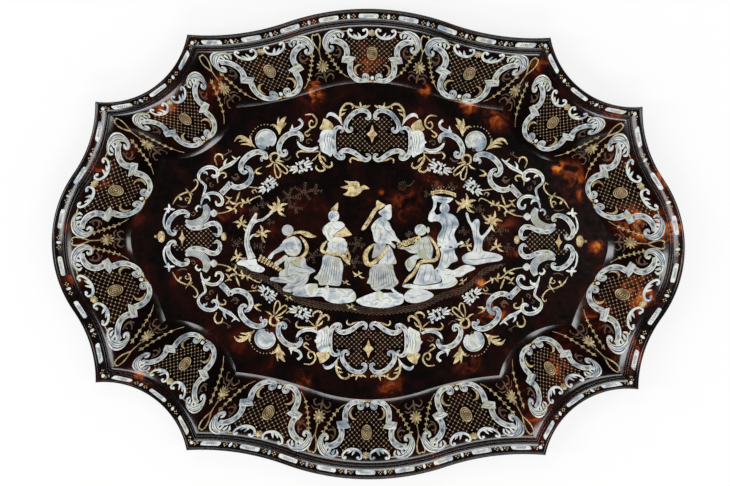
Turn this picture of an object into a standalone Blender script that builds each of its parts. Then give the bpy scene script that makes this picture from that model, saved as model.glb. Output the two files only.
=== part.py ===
"""Large serving tray of tortoiseshell, inlaid with mother-of-pearl and gold.

The tray lies on z = 0 with its long axis along X and its origin under the middle.
A flat floor plate carries eight curved wall panels, which carry eight rim segments.
Gold medallions sit in pockets in the walls, and flat inlays in pockets in the floor.
"""
import math

import bmesh
import bpy
from mathutils import Matrix, Vector

MM = 0.001

# Outside of the tray
HALF_LENGTH = 280 * MM
HALF_WIDTH = 209 * MM
HEIGHT = 40 * MM
CUSP_A_IN = Vector((120.5, 24.4)) * MM   # long side's cusp, in from the tray's two extremes
CUSP_B_IN = Vector((39.0, 84.0)) * MM    # short side's cusp, in from the tray's two extremes
LONG_DROP = 24.6 * MM                    # how far a long side sweeps in from its middle
LONG_HOOK = 16.0 * MM                    # how far it runs on, past its lowest place, to the cusp
SHORT_DROP = 38.9 * MM
SHORT_HOOK = 2.0 * MM
CORNER_RADIUS = 74 * MM                  # hollow corner of the outside
WELL_CORNER_RADIUS = 59 * MM             # hollow corner of the well

# Rim and wall
RIM_WIDTH = 13.2 * MM
RIM_LIP = 2.9 * MM                       # thickness of the rim's turned-down edge
RIM_DROP = 8.5 * MM                      # how far that edge hangs below the top
RIM_PLATE = 2.1 * MM                     # thickness of the rim under its flat band
BAND_SUNK = 1.0 * MM                     # the flat band lies this far below the rim's beads
WALL_SPAN = 53.3 * MM                    # plan width of a wall, from the rim to the well
WALL_THICK = 3.2 * MM
WALL_SWEEP = 0.55                        # 0 is a straight wall, 1 is a full ogee
MITRE_A = Vector((-40.4, -64.1)).normalized()
MITRE_B = Vector((-57.7, -51.2)).normalized()

# Floor plate
FLOOR_THICK = 3.5 * MM
REBATE_WIDTH = 6.5 * MM                  # step in the plate's edge, which the walls stand on
REBATE_THICK = 1.5 * MM

# Fits
GAP = 0.3 * MM                           # between pieces that touch
INLAY_THICK = 1.0 * MM
INLAY_PROUD = 0.1 * MM
MEDALLION_THICK = 2.0 * MM
MEDALLION_DEEP = 1.2 * MM
MEDALLION_HALF = Vector((4.5, 6.1)) * MM
MEDALLION_UP = 28 * MM                   # plan distance from the well edge to a medallion

# Fineness of the curved work
LONG_STEPS = 16
SHORT_STEPS = 14
CORNER_STEPS = 6
WALL_STEPS = 8

# Inlay of the floor
FRAME_BAND = 5 * MM
LONG_FRAME = Vector((46, 20)) * MM       # half size of a frame beside a long side
SHORT_FRAME = Vector((20, 27)) * MM
LONG_FRAME_IN = 43 * MM                  # frame's centre, in from the well edge
SHORT_FRAME_IN = 50 * MM
SHELL_RADIUS = 12 * MM
SHELL_IN = Vector((120, 54)) * MM        # shell's hinge, in from the well's two extremes
LOZENGE_HALF = Vector((4.5, 8)) * MM
SCENE_NOMINAL = Vector((213.5, 142.5)) * MM   # half well that the middle scene is drawn for

RIM_TOP = HEIGHT
BAND_TOP = HEIGHT - BAND_SUNK
BAND_UNDER = BAND_TOP - RIM_PLATE
WALL_TOP = BAND_UNDER - GAP
WELL_IN = RIM_WIDTH + WALL_SPAN
WELL_HALF = Vector((HALF_LENGTH - WELL_IN, HALF_WIDTH - WELL_IN))
SCENE_SCALE = min(WELL_HALF.x / SCENE_NOMINAL.x, WELL_HALF.y / SCENE_NOMINAL.y)

# Silhouettes of the middle scene, in millimetres from the tray's middle
FIGURES = {
    "figure_gatherer": [
        (-78, 10), (-73, 15), (-68, 12), (-69, 5), (-66, 3.5), (-61, 0), (-60.5, -9), (-56, -18),
        (-48.5, -26), (-53, -31), (-57, -40), (-64, -45), (-73, -46), (-77, -43), (-88, -36),
        (-80, -32), (-75, -24), (-84, -21), (-75, -14), (-76, -9), (-89, -15), (-79, -4), (-73, 3)],
    "figure_with_fan": [
        (-37, 23), (-34, 28), (-28, 35), (-26, 24), (-29, 18), (-23, 17), (-15, 6), (-20, 4),
        (-19, -5), (-15.5, -21), (-23, -19), (-25, -39), (-43, -38), (-49, -33), (-40, -14),
        (-43, -8), (-37, 0), (-41, 8), (-38, 15), (-32, 17)],
    "figure_with_veil": [
        (7, 37), (20, 33), (20.5, 24), (17, 19), (22, 11), (27, 0.5), (18, -4), (25, -18), (22.5, -25),
        (27, -36), (20, -42), (4, -41), (0, -36), (1, -24), (-4.5, -19), (-4, -10), (5, -1),
        (2.5, 13), (6, 19), (10, 23), (3, 26), (-3, 11), (-7, 12), (2, 28)],
    "figure_seated": [
        (41, 11), (46, 16), (54, 14), (54, 6), (59.5, -4), (60.5, -11), (58.5, -17.5), (57, -20),
        (61, -33), (41, -36.5), (42, -27), (31, -38), (35, -29), (37, -26), (33, -19), (40, -11),
        (30, -5.5), (29, -2.8), (33, 2.5), (46, 6)],
    "figure_with_basket": [
        (55.5, 42), (67, 47), (77.5, 40.5), (72, 35), (72, 27), (79, 21), (80.5, 16), (77, 8),
        (79.5, -2.5), (76, -6), (80, -15.5), (72, -18.5), (63.5, -18.5), (65, -6), (62.5, 5),
        (65.5, 14), (63, 19), (53, 19), (57, 31), (58, 37)],
}
GROUND = {
    "ground_left_rock": [
        (-118, -20), (-112, -17), (-101, -16.8), (-98, -22), (-93, -25.5), (-97, -28.5), (-107, -26.5)],
    "ground_middle_rock": [
        (-67, -49), (-56, -47), (-45, -43), (-38, -42), (-16, -42.5), (-10.5, -48), (-13, -54),
        (-30, -55.5), (-41, -50)],
    "ground_front_rock": [
        (-9, -53), (0, -48), (7, -46), (20, -47), (31, -48), (31, -54), (20, -58), (8, -59.5), (-5, -57)],
    "ground_small_rock": [
        (33, -48), (38, -43.5), (50, -44), (58, -47.5), (50, -53), (40, -54), (34, -53)],
    "ground_right_rock": [
        (31, -40), (45, -38.5), (63, -36), (66, -21.5), (76, -21.5), (87, -21), (95, -23), (87, -28), (78, -31),
        (79, -36), (70, -40), (45, -42)],
}
PLANTS = {
    "tree_left": [
        (-109, -15.5), (-100.8, -15.5), (-105, -5), (-106, 2), (-100, 6), (-104, 7), (-102, 17),
        (-94, 19), (-85, 27), (-80, 24), (-73, 33), (-90, 35), (-90, 27), (-96, 21), (-100, 25),
        (-107, 13), (-112, 10), (-109, 6), (-111, -3)],
    "tree_stump": [
        (84, -12), (92, -7.5), (95, 3), (92, 14), (87, 27), (79, 32), (85, 42), (96, 37), (90, 27),
        (93, 19), (97, 21), (99, 17), (99, 8), (109, 17), (103, 4), (102, -7), (119, -11),
        (116, -15.5), (98, -19)],
    "bird": [
        (0, 47.5), (-4, 50.5), (-9, 50), (-11, 54), (-22, 54.5), (-18, 50.5), (-25, 48.5), (-18, 46),
        (-22, 42), (-13, 40.5), (-7, 44)],
}


def clear_scene():
    for obj in list(bpy.data.objects):
        bpy.data.objects.remove(obj, do_unlink=True)


def make_material(name, colour, roughness, metallic):
    material = bpy.data.materials.new(name)
    material.use_nodes = True
    shader = material.node_tree.nodes["Principled BSDF"]
    shader.inputs["Base Color"].default_value = (*colour, 1)
    shader.inputs["Roughness"].default_value = roughness
    shader.inputs["Metallic"].default_value = metallic
    return material


def shell_material(name):
    return make_material(name, (0.030, 0.009, 0.005), 0.12, 0)


def pearl_material(name):
    return make_material(name, (0.72, 0.76, 0.78), 0.25, 0)


def gold_material(name):
    return make_material(name, (0.62, 0.43, 0.17), 0.35, 1)


# The outside and everything parallel to it

def bent_side(middle, reach, drop):
    """Centres of a side's two tangent arcs, its radius and its turn, for a side met end on.

    The side starts level at (0, middle), bulges out, and ends level at (reach, middle - drop).
    """
    radius = (reach ** 2 + drop ** 2) / (4 * drop)
    turn = math.asin(reach / (2 * radius))
    bulge = Vector((0, middle - radius))
    hollow = Vector((reach, middle - drop + radius))
    return bulge, hollow, radius, turn


def meet_circle(start, direction, centre, radius):
    """Where a line from start first meets a circle near start."""
    offset = start - centre
    along = offset.dot(direction)
    root = math.sqrt(along ** 2 - offset.length_squared + radius ** 2)
    return start + direction * min((-along - root, -along + root), key=abs)


def swap(point):
    return Vector((point.y, point.x))


def cusps():
    far = Vector((HALF_LENGTH, HALF_WIDTH))
    return far - CUSP_A_IN, far - CUSP_B_IN


def half_side(inset, long_side):
    """Arcs of half a side at a plan distance in from the outside, as (centre, radius, from, to)."""
    cusp_a, cusp_b = cusps()
    if long_side:
        middle, cusp, mitre = HALF_WIDTH, cusp_a, MITRE_A
        reach, drop = cusp_a.x - LONG_HOOK, LONG_DROP
    else:
        middle, cusp, mitre = HALF_LENGTH, swap(cusp_b), swap(MITRE_B)
        reach, drop = cusp_b.y - SHORT_HOOK, SHORT_DROP
    bulge, hollow, radius, turn = bent_side(middle, reach, drop)
    start = meet_circle(cusp, mitre, hollow, radius)
    away = (start - hollow).length + inset
    end = meet_circle(start + mitre * inset, mitre, hollow, away)
    end_angle = math.atan2(end.y - hollow.y, end.x - hollow.x)
    return [
        (bulge, radius - inset, math.pi / 2, math.pi / 2 - turn),
        (hollow, radius + inset, -math.pi / 2 - turn, end_angle),
    ], end


def along_arcs(arcs, distance):
    for centre, radius, first, last in arcs:
        length = abs(last - first) * radius
        if distance <= length or centre == arcs[-1][0]:
            angle = first + (last - first) * distance / length
            return centre + radius * Vector((math.cos(angle), math.sin(angle)))
        distance -= length


def arcs_length(arcs):
    return sum(abs(last - first) * radius for _, radius, first, last in arcs)


def side_point(long_side, inset, share, trim=0):
    """A point of a whole side; share runs from -1 at one cusp to 1 at the other."""
    arcs, _ = half_side(inset, long_side)
    distance = abs(share) * (arcs_length(arcs) - trim)
    point = along_arcs(arcs, distance)
    point.x = math.copysign(point.x, share)
    return point if long_side else Vector((point.y, -point.x))


def corner_point(inset, share, trim=0):
    """A point of the hollow corner beyond +X and +Y; share runs from -1 to 1."""
    _, first = half_side(inset, True)
    last = swap(half_side(inset, False)[1])
    blend = max(0, inset - RIM_WIDTH) / WALL_SPAN
    rim_radius = CORNER_RADIUS + min(inset, RIM_WIDTH)
    radius = rim_radius + (WELL_CORNER_RADIUS - rim_radius) * blend
    chord = last - first
    outward = Vector((-chord.y, chord.x)).normalized()
    half_turn = math.asin(chord.length / 2 / radius)
    centre = (first + last) / 2 + outward * radius * math.cos(half_turn)
    turn = share * (half_turn - trim / radius)
    spoke = Matrix.Rotation(turn, 2) @ -outward
    return centre + spoke * radius


CORNERS = {"northeast": (1, 1), "southeast": (1, -1), "southwest": (-1, -1), "northwest": (-1, 1)}
SIDES = {"north": (True, 1), "east": (False, 1), "south": (True, -1), "west": (False, -1)}


def plan_point(name, inset, share, trim=0):
    """A point of any side or corner, clockwise seen from above as share grows."""
    if name in SIDES:
        long_side, sign = SIDES[name]
        return side_point(long_side, inset, share, trim) * sign
    flip_x, flip_y = CORNERS[name]
    point = corner_point(inset, share * flip_x * flip_y, trim)
    return Vector((point.x * flip_x, point.y * flip_y))


def steps_of(name):
    if name in CORNERS:
        return CORNER_STEPS
    return LONG_STEPS if SIDES[name][0] else SHORT_STEPS


def whole_outline(inset):
    """The closed outline at a plan distance in from the outside."""
    points = []
    for name in ("north", "northeast", "east", "southeast", "south", "southwest", "west", "northwest"):
        steps = steps_of(name)
        points += [plan_point(name, inset, 2 * k / steps - 1) for k in range(steps)]
    return points


# Solids

def finish(name, bm, material, smooth=False):
    bmesh.ops.recalc_face_normals(bm, faces=bm.faces)
    mesh = bpy.data.meshes.new(name)
    bm.to_mesh(mesh)
    bm.free()
    mesh.materials.append(material)
    if smooth:
        mesh.shade_smooth()
        mesh.set_sharp_from_angle(angle=math.radians(30))
    obj = bpy.data.objects.new(name, mesh)
    bpy.context.scene.collection.objects.link(obj)
    return obj


def sweep(rings):
    """A closed skin through rings of equal length, capped at both ends."""
    bm = bmesh.new()
    ring = [bm.verts.new(point) for point in rings[0]]
    edges = list(bm.faces.new(ring).edges)
    for points in rings[1:]:
        made = bmesh.ops.extrude_edge_only(bm, edges=edges)["geom"]
        fresh = {item for item in made if isinstance(item, bmesh.types.BMVert)}
        edges = [item for item in made if isinstance(item, bmesh.types.BMEdge)]
        edges = [edge for edge in edges if edge.verts[0] in fresh and edge.verts[1] in fresh]
        ring = [next(e.other_vert(v) for e in v.link_edges if e.other_vert(v) in fresh) for v in ring]
        for vert, point in zip(ring, points):
            vert.co = point
    bm.faces.new(ring)
    return bm


def prism(outline, low, high):
    """An upright block with the given outline."""
    bm = bmesh.new()
    face = bm.faces.new([bm.verts.new((point[0], point[1], low)) for point in outline])
    made = bmesh.ops.extrude_face_region(bm, geom=[face])["geom"]
    top = [item for item in made if isinstance(item, bmesh.types.BMVert)]
    bmesh.ops.translate(bm, verts=top, vec=(0, 0, high - low))
    return bm


def spread(outline, distance):
    """The outline moved outwards by a distance, with its corners kept sharp."""
    area = sum(a.x * b.y - b.x * a.y for a, b in zip(outline, outline[1:] + outline[:1]))
    sign = 1 if area > 0 else -1
    moved = []
    for before, here, after in zip(outline[-1:] + outline, outline, outline[1:] + outline[:1]):
        first = (here - before).normalized()
        second = (after - here).normalized()
        normal_a = Vector((first.y, -first.x)) * sign
        normal_b = Vector((second.y, -second.x)) * sign
        middle = (normal_a + normal_b).normalized()
        moved.append(here + middle * distance / max(middle.dot(normal_a), 0.4))
    return moved


def cut(target, cutter):
    cutter.hide_render = True
    cutter.display_type = "WIRE"
    boolean = target.modifiers.new("pockets", "BOOLEAN")
    boolean.operation = "DIFFERENCE"
    boolean.solver = "EXACT"
    boolean.object = cutter


# Walls and rim

def ogee(share):
    return (1 - WALL_SWEEP) * share + WALL_SWEEP * share ** 2 * (3 - 2 * share)


def wall_height(inset):
    """Height of a wall's upper face at a plan distance in from the outside."""
    return FLOOR_THICK + (WALL_TOP - FLOOR_THICK) * ogee((WELL_IN - inset) / WALL_SPAN)


def wall_slope(inset):
    step = 0.1 * MM
    return (wall_height(inset + step) - wall_height(inset - step)) / (2 * step)


def wall_section():
    """A wall's cross-section as (inset, height), from its foot up and back underneath."""
    foot = WELL_IN - GAP
    hidden = RIM_LIP + GAP
    top = [foot - (foot - RIM_WIDTH) * k / WALL_STEPS for k in range(WALL_STEPS + 1)]
    upper = [(inset, wall_height(inset)) for inset in top] + [(hidden, WALL_TOP)]
    lower = [(hidden, WALL_TOP - WALL_THICK)]
    for inset in reversed(top[2:]):
        thick = WALL_THICK * math.hypot(1, wall_slope(inset))
        lower.append((inset, wall_height(inset) - thick))
    seat = REBATE_THICK + GAP
    lip = WELL_IN - REBATE_WIDTH
    lower = [point for point in lower if point[1] > seat + 0.5 * MM]
    return upper + lower + [(lip, seat), (foot, seat)]


def rim_section():
    """The rim's cross-section: two inner beads, a flat band, the outer bead and the lip."""
    bead = RIM_WIDTH - 3.7 * MM
    groove = BAND_TOP - 0.2 * MM
    crest = RIM_TOP - 0.4 * MM
    return [
        (RIM_WIDTH, BAND_UNDER), (RIM_WIDTH, BAND_TOP), (RIM_WIDTH - 0.4 * MM, crest),
        (RIM_WIDTH - 1.1 * MM, crest), (RIM_WIDTH - 1.5 * MM, groove), (RIM_WIDTH - 2.1 * MM, groove),
        (RIM_WIDTH - 2.4 * MM, crest), (RIM_WIDTH - 3.3 * MM, crest), (bead, BAND_TOP),
        (3.1 * MM, BAND_TOP), (2.6 * MM, RIM_TOP - 0.35 * MM), (1.6 * MM, RIM_TOP),
        (0.6 * MM, RIM_TOP - 0.35 * MM), (0, RIM_TOP - 1.4 * MM), (0, RIM_TOP - RIM_DROP),
        (RIM_LIP, RIM_TOP - RIM_DROP), (RIM_LIP, BAND_UNDER)]


def swept_panel(name, piece, section, material):
    steps = steps_of(piece)
    trim = 0.65 * GAP
    rings = []
    for k in range(steps + 1):
        share = 2 * k / steps - 1
        rings.append([(*plan_point(piece, inset, share, trim), height) for inset, height in section])
    return finish(name, sweep(rings), material, smooth=True)


def wall_frame(piece, inset, share):
    """Place of a wall's upper face, as a matrix whose Z is the face's normal and Y is uphill."""
    step = 0.5 * MM
    here = Vector((*plan_point(piece, inset, share), wall_height(inset)))
    outer = Vector((*plan_point(piece, inset - step, share), wall_height(inset - step)))
    uphill = (outer - here).normalized()
    along = Vector((*plan_point(piece, inset, share + 0.01), wall_height(inset))) - here
    across = (along - uphill * along.dot(uphill)).normalized()
    normal = across.cross(uphill)
    frame = Matrix((across, uphill, normal)).transposed().to_4x4()
    frame.translation = here
    return frame


def oval_block(grow, low, high):
    bm = bmesh.new()
    ring = bmesh.ops.create_circle(bm, cap_ends=True, segments=20, radius=1)["verts"]
    size = (MEDALLION_HALF.x + grow, MEDALLION_HALF.y + grow, 1)
    bmesh.ops.scale(bm, vec=size, verts=ring)
    bmesh.ops.translate(bm, vec=(0, 0, low), verts=ring)
    made = bmesh.ops.extrude_face_region(bm, geom=bm.faces[:])["geom"]
    top = [item for item in made if isinstance(item, bmesh.types.BMVert)]
    bmesh.ops.translate(bm, vec=(0, 0, high - low), verts=top)
    return bm


def make_medallion(name, frame):
    bm = oval_block(0, -MEDALLION_DEEP, MEDALLION_THICK - MEDALLION_DEEP)
    top = max(bm.faces, key=lambda face: face.calc_center_median().z)
    bmesh.ops.inset_region(bm, faces=[top], thickness=0.8 * MM)
    bmesh.ops.inset_region(bm, faces=[top], thickness=0.6 * MM, depth=-0.3 * MM)
    bmesh.ops.transform(bm, matrix=frame, verts=bm.verts)
    return finish(name, bm, gold_material(name), smooth=True)


def medallion_shares(piece):
    if piece in CORNERS:
        return [0]
    return [-0.66, 0, 0.66] if SIDES[piece][0] else [-0.5, 0.5]


def make_wall(piece):
    wall = swept_panel(f"wall_{piece}", piece, wall_section(), shell_material(f"wall_{piece}"))
    pockets = bmesh.new()
    for index, share in enumerate(medallion_shares(piece), start=1):
        frame = wall_frame(piece, WELL_IN - MEDALLION_UP, share)
        make_medallion(f"medallion_{piece}_{index}", frame)
        block = oval_block(GAP, -MEDALLION_DEEP - GAP, 4 * MM)
        bmesh.ops.transform(block, matrix=frame, verts=block.verts)
        bmesh.ops.recalc_face_normals(block, faces=block.faces)
        scratch = bpy.data.meshes.new("pocket")
        block.to_mesh(scratch)
        block.free()
        pockets.from_mesh(scratch)
        bpy.data.meshes.remove(scratch)
    cutter = finish(f"wall_{piece}_pockets", pockets, wall.data.materials[0])
    cut(wall, cutter)


def make_rim(piece):
    swept_panel(f"rim_{piece}", piece, rim_section(), shell_material(f"rim_{piece}"))


# Floor and its inlay

def frame_ring(centre, half, grow):
    """Outer and inner outlines of a lobed oval frame."""
    rings = []
    for side in (1, -1):
        ring = []
        for k in range(28):
            angle = 2 * math.pi * k / 28
            lobe = 1 + 0.07 * math.cos(4 * angle)
            point = Vector((half.x * math.cos(angle), half.y * math.sin(angle))) * lobe
            out = Vector((point.x / half.x ** 2, point.y / half.y ** 2)).normalized()
            ring.append(centre + point + out * side * (FRAME_BAND / 2 + grow))
        rings.append(ring)
    return rings


def ring_block(rings, low, high):
    """A flat closed band between an outer and an inner outline."""
    outer, inner = rings
    sections = []
    for a, b in zip(outer, inner):
        sections.append([(*a, low), (*a, high), (*b, high), (*b, low)])
    bm = bmesh.new()
    loops = [[bm.verts.new(corner) for corner in section] for section in sections]
    for this, after in zip(loops, loops[1:] + loops[:1]):
        for k in range(4):
            bm.faces.new((this[k], this[k - 1], after[k - 1], after[k]))
    return bm


def shell_outline(centre, turn, grow):
    """A scallop: a fan of seven lobes above its hinge."""
    lobes = 7
    points = [Vector((-0.25 * SHELL_RADIUS, -0.2 * SHELL_RADIUS)), Vector((0.25 * SHELL_RADIUS, -0.2 * SHELL_RADIUS))]
    for k in range(2 * lobes + 1):
        angle = math.radians(-8 + 196 * k / (2 * lobes))
        radius = SHELL_RADIUS * (1 if k % 2 else 0.9)
        points.append(Vector((radius * math.cos(angle), radius * math.sin(angle))))
    spin = Matrix.Rotation(turn, 2)
    return spread([centre + spin @ point for point in points], grow)


def lozenge_outline(centre, grow):
    """A four-pointed star, taller than wide."""
    points = []
    for k in range(8):
        angle = math.pi / 4 * k
        reach = 1 if k % 2 == 0 else 0.5
        points.append(centre + reach * Vector((LOZENGE_HALF.x * math.cos(angle), LOZENGE_HALF.y * math.sin(angle))))
    return spread(points, grow)


def scene_outline(points, grow):
    return spread([Vector(point) * MM * SCENE_SCALE for point in points], grow)


def floor_inlays():
    """Every flat inlay, as (name, material maker, block maker for a growth and two heights)."""
    places = {
        "north": (Vector((0, WELL_HALF.y - LONG_FRAME_IN)), LONG_FRAME),
        "south": (Vector((0, LONG_FRAME_IN - WELL_HALF.y)), LONG_FRAME),
        "east": (Vector((WELL_HALF.x - SHORT_FRAME_IN, 0)), SHORT_FRAME),
        "west": (Vector((SHORT_FRAME_IN - WELL_HALF.x, 0)), SHORT_FRAME),
    }
    for name, (centre, half) in places.items():
        yield (f"frame_{name}", pearl_material,
               lambda grow, low, high, c=centre, h=half: ring_block(frame_ring(c, h, grow), low, high))
        yield (f"lozenge_{name}", gold_material,
               lambda grow, low, high, c=centre: prism(lozenge_outline(c, grow), low, high))
    for name, (flip_x, flip_y) in CORNERS.items():
        centre = Vector((flip_x * (WELL_HALF.x - SHELL_IN.x), flip_y * (WELL_HALF.y - SHELL_IN.y)))
        turn = 0 if flip_y > 0 else math.pi
        yield (f"shell_{name}", pearl_material,
               lambda grow, low, high, c=centre, t=turn: prism(shell_outline(c, t, grow), low, high))
    for name, points in {**FIGURES, **GROUND, **PLANTS}.items():
        maker = gold_material if name == "bird" else pearl_material
        yield (name, maker,
               lambda grow, low, high, p=points: prism(scene_outline(p, grow), low, high))


def make_floor():
    levels = [
        (WELL_IN - REBATE_WIDTH, 0), (WELL_IN - REBATE_WIDTH, REBATE_THICK),
        (WELL_IN, REBATE_THICK), (WELL_IN, FLOOR_THICK)]
    rings = [[(*point, height) for point in whole_outline(inset)] for inset, height in levels]
    floor = finish("floor_plate", sweep(rings), shell_material("floor_plate"))
    bottom = FLOOR_THICK + INLAY_PROUD - INLAY_THICK
    pockets = bmesh.new()
    for name, maker, block in floor_inlays():
        finish(name, block(0, bottom, FLOOR_THICK + INLAY_PROUD), maker(name))
        hole = block(GAP, bottom - GAP, FLOOR_THICK + 1 * MM)
        bmesh.ops.recalc_face_normals(hole, faces=hole.faces)
        scratch = bpy.data.meshes.new("pocket")
        hole.to_mesh(scratch)
        hole.free()
        pockets.from_mesh(scratch)
        bpy.data.meshes.remove(scratch)
    cut(floor, finish("floor_pockets", pockets, floor.data.materials[0]))


clear_scene()
make_floor()
for side in list(SIDES) + list(CORNERS):
    make_wall(side)
    make_rim(side)
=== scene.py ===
import math
import random

import bmesh
import bpy
import numpy as np
from mathutils import Matrix, Vector


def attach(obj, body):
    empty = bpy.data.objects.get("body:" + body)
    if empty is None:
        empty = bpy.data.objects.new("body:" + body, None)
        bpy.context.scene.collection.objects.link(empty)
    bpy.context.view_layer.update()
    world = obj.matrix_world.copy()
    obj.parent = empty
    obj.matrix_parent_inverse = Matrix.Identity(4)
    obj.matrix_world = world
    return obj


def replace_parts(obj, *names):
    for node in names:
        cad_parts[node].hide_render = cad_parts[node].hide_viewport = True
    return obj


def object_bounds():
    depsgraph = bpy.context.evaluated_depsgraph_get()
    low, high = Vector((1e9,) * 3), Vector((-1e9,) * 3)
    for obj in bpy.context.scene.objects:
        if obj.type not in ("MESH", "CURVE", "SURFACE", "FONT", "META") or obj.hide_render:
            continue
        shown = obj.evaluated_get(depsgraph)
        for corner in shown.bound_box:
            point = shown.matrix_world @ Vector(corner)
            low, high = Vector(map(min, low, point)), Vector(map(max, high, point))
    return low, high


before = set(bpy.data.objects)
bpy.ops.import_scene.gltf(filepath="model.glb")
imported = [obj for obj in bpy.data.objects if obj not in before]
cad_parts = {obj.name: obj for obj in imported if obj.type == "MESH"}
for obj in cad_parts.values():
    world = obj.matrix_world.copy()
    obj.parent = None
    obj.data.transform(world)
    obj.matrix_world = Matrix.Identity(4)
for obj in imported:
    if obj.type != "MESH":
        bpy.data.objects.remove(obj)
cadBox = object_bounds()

mm = 0.001
lowCorner, highCorner = [Vector(corner) for corner in cadBox]

# camera

view = {"place": (0.1192, 0.3017, 3.0), "turn": (-5.75, 2.38, 0.39), "lens": 166.3, "sensor": 36}


def makeCamera():
    data = bpy.data.cameras.new("viewCamera")
    data.lens = view["lens"]
    data.sensor_width = view["sensor"]
    camera = bpy.data.objects.new("viewCamera", data)
    camera.location = view["place"]
    camera.rotation_euler = [math.radians(angle) for angle in view["turn"]]
    bpy.context.scene.collection.objects.link(camera)
    bpy.context.scene.camera = camera


# tray outline: the same arcs as the solids have, worked out from the frame's box

tray = {
    "cuspA": (120.5, 24.4), "cuspB": (39.0, 84.0),      # cusps, in from the two extremes, mm
    "longDrop": 24.6, "longHook": 16.0, "shortDrop": 38.9, "shortHook": 2.0,
    "corner": 74.0, "wellCorner": 59.0, "rim": 13.2, "wallSpan": 53.3, "sweep": 0.55,
    "mitreA": (-40.4, -64.1), "mitreB": (-57.7, -51.2),
    "wallThick": 3.0, "bandSunk": 1.0, "plateUnder": 3.4, "rimDrop": 8.5, "lip": 2.9,
}
halfLength, halfWidth, trayTop = highCorner / mm
wellIn = tray["rim"] + tray["wallSpan"]
wallTop = trayTop - tray["plateUnder"]
floorMm = 3.5


def meetCircle(start, direction, centre, radius):
    offset = start - centre
    along = offset.dot(direction)
    root = math.sqrt(along ** 2 - offset.length_squared + radius ** 2)
    return start + direction * min((-along - root, -along + root), key=abs)


def swapped(point):
    return Vector((point[1], point[0]))


# the two arcs of half a side at an inset, bulge then hollow, and where the second meets the mitre
def halfSide(inset, isLong):
    cuspA = Vector((halfLength - tray["cuspA"][0], halfWidth - tray["cuspA"][1]))
    cuspB = Vector((halfLength - tray["cuspB"][0], halfWidth - tray["cuspB"][1]))
    if isLong:
        middle, cusp, mitre, drop = halfWidth, cuspA, Vector(tray["mitreA"]).normalized(), tray["longDrop"]
        reach = cusp.x - tray["longHook"]
    else:
        middle, cusp, drop = halfLength, swapped(cuspB), tray["shortDrop"]
        mitre = swapped(tray["mitreB"]).normalized()
        reach = cusp.x - tray["shortHook"]
    radius = (reach ** 2 + drop ** 2) / (4 * drop)
    turn = math.asin(reach / (2 * radius))
    bulge = Vector((0, middle - radius))
    hollow = Vector((reach, middle - drop + radius))
    start = meetCircle(cusp, mitre, hollow, radius)
    end = meetCircle(start + mitre * inset, mitre, hollow, radius + inset)
    endAngle = math.atan2(end.y - hollow.y, end.x - hollow.x)
    arcs = [(bulge, radius - inset, math.pi / 2, math.pi / 2 - turn),
            (hollow, radius + inset, -math.pi / 2 - turn, endAngle)]
    return arcs, end


def sidePoints(inset, isLong, shares):
    arcs, end = halfSide(inset, isLong)
    lengths = [abs(arc[3] - arc[2]) * arc[1] for arc in arcs]
    points = []
    for share in shares:
        distance = abs(share) * sum(lengths)
        part = 0 if distance <= lengths[0] else 1
        centre, radius, first, last = arcs[part]
        angle = first + (last - first) * (distance - part * lengths[0]) / lengths[part]
        x = centre.x + radius * math.cos(angle)
        y = centre.y + radius * math.sin(angle)
        x = math.copysign(x, share)
        points.append((x, y) if isLong else (y, -x))
    return points


def cornerPoints(inset, shares):
    first = halfSide(inset, True)[1]
    last = swapped(halfSide(inset, False)[1])
    rimRadius = tray["corner"] + min(inset, tray["rim"])
    blend = max(0, inset - tray["rim"]) / tray["wallSpan"]
    radius = rimRadius + (tray["wellCorner"] - rimRadius) * blend
    chord = last - first
    outward = Vector((-chord.y, chord.x)).normalized()
    halfTurn = math.asin(chord.length / 2 / radius)
    centre = (first + last) / 2 + outward * radius * math.cos(halfTurn)
    return [centre + Matrix.Rotation(float(share) * halfTurn,
            2) @ -outward * float(radius) for share in shares]


sides = {
    "north": ("long", 1, 1), "south": ("long", -1, -1), "east": ("short", 1, 1), "west": ("short", -1, -1),
    "northeast": ("corner", 1, 1), "southeast": ("corner", 1, -1),
    "southwest": ("corner", -1, -1), "northwest": ("corner", -1, 1),
}
gridShares = np.linspace(-1, 1, 241)
gridInsets = np.linspace(0, wellIn, 134)


def planGrid(kind):
    if kind == "corner":
        rows = [cornerPoints(float(inset), gridShares) for inset in gridInsets]
    else:
        rows = [sidePoints(float(inset), kind == "long", gridShares) for inset in gridInsets]
    return np.array([[tuple(point) for point in row] for row in rows])


planGrids = {kind: planGrid(kind) for kind in ("long", "short", "corner")}
midRow = np.abs(gridInsets - (wellIn - 28)).argmin()
halfMid = {kind: np.linalg.norm(np.diff(grid[midRow], axis=0), axis=1).sum() / 2
           for kind, grid in planGrids.items()}
halfRim = {kind: np.linalg.norm(np.diff(grid[12], axis=0), axis=1).sum() / 2
           for kind, grid in planGrids.items()}


# plan points of a side: share runs from -1 to 1 along it clockwise, inset from the edge inwards, mm
def planAt(side, share, inset):
    kind, flipX, flipY = sides[side]
    grid = planGrids[kind]
    if flipX * flipY < 0:
        share = -share
    column = np.clip((share + 1) / 2, 0, 1) * (len(gridShares) - 1)
    row = np.clip(inset / wellIn, 0, 1) * (len(gridInsets) - 1)
    c0 = np.minimum(column.astype(int), len(gridShares) - 2)
    r0 = np.minimum(row.astype(int), len(gridInsets) - 2)
    fc = (column - c0)[..., None]
    fr = (row - r0)[..., None]
    top = grid[r0, c0] * (1 - fc) + grid[r0, c0 + 1] * fc
    low = grid[r0 + 1, c0] * (1 - fc) + grid[r0 + 1, c0 + 1] * fc
    return (top * (1 - fr) + low * fr) * np.array([flipX, flipY])


def ogee(share):
    return (1 - tray["sweep"]) * share + tray["sweep"] * share ** 2 * (3 - 2 * share)


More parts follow.
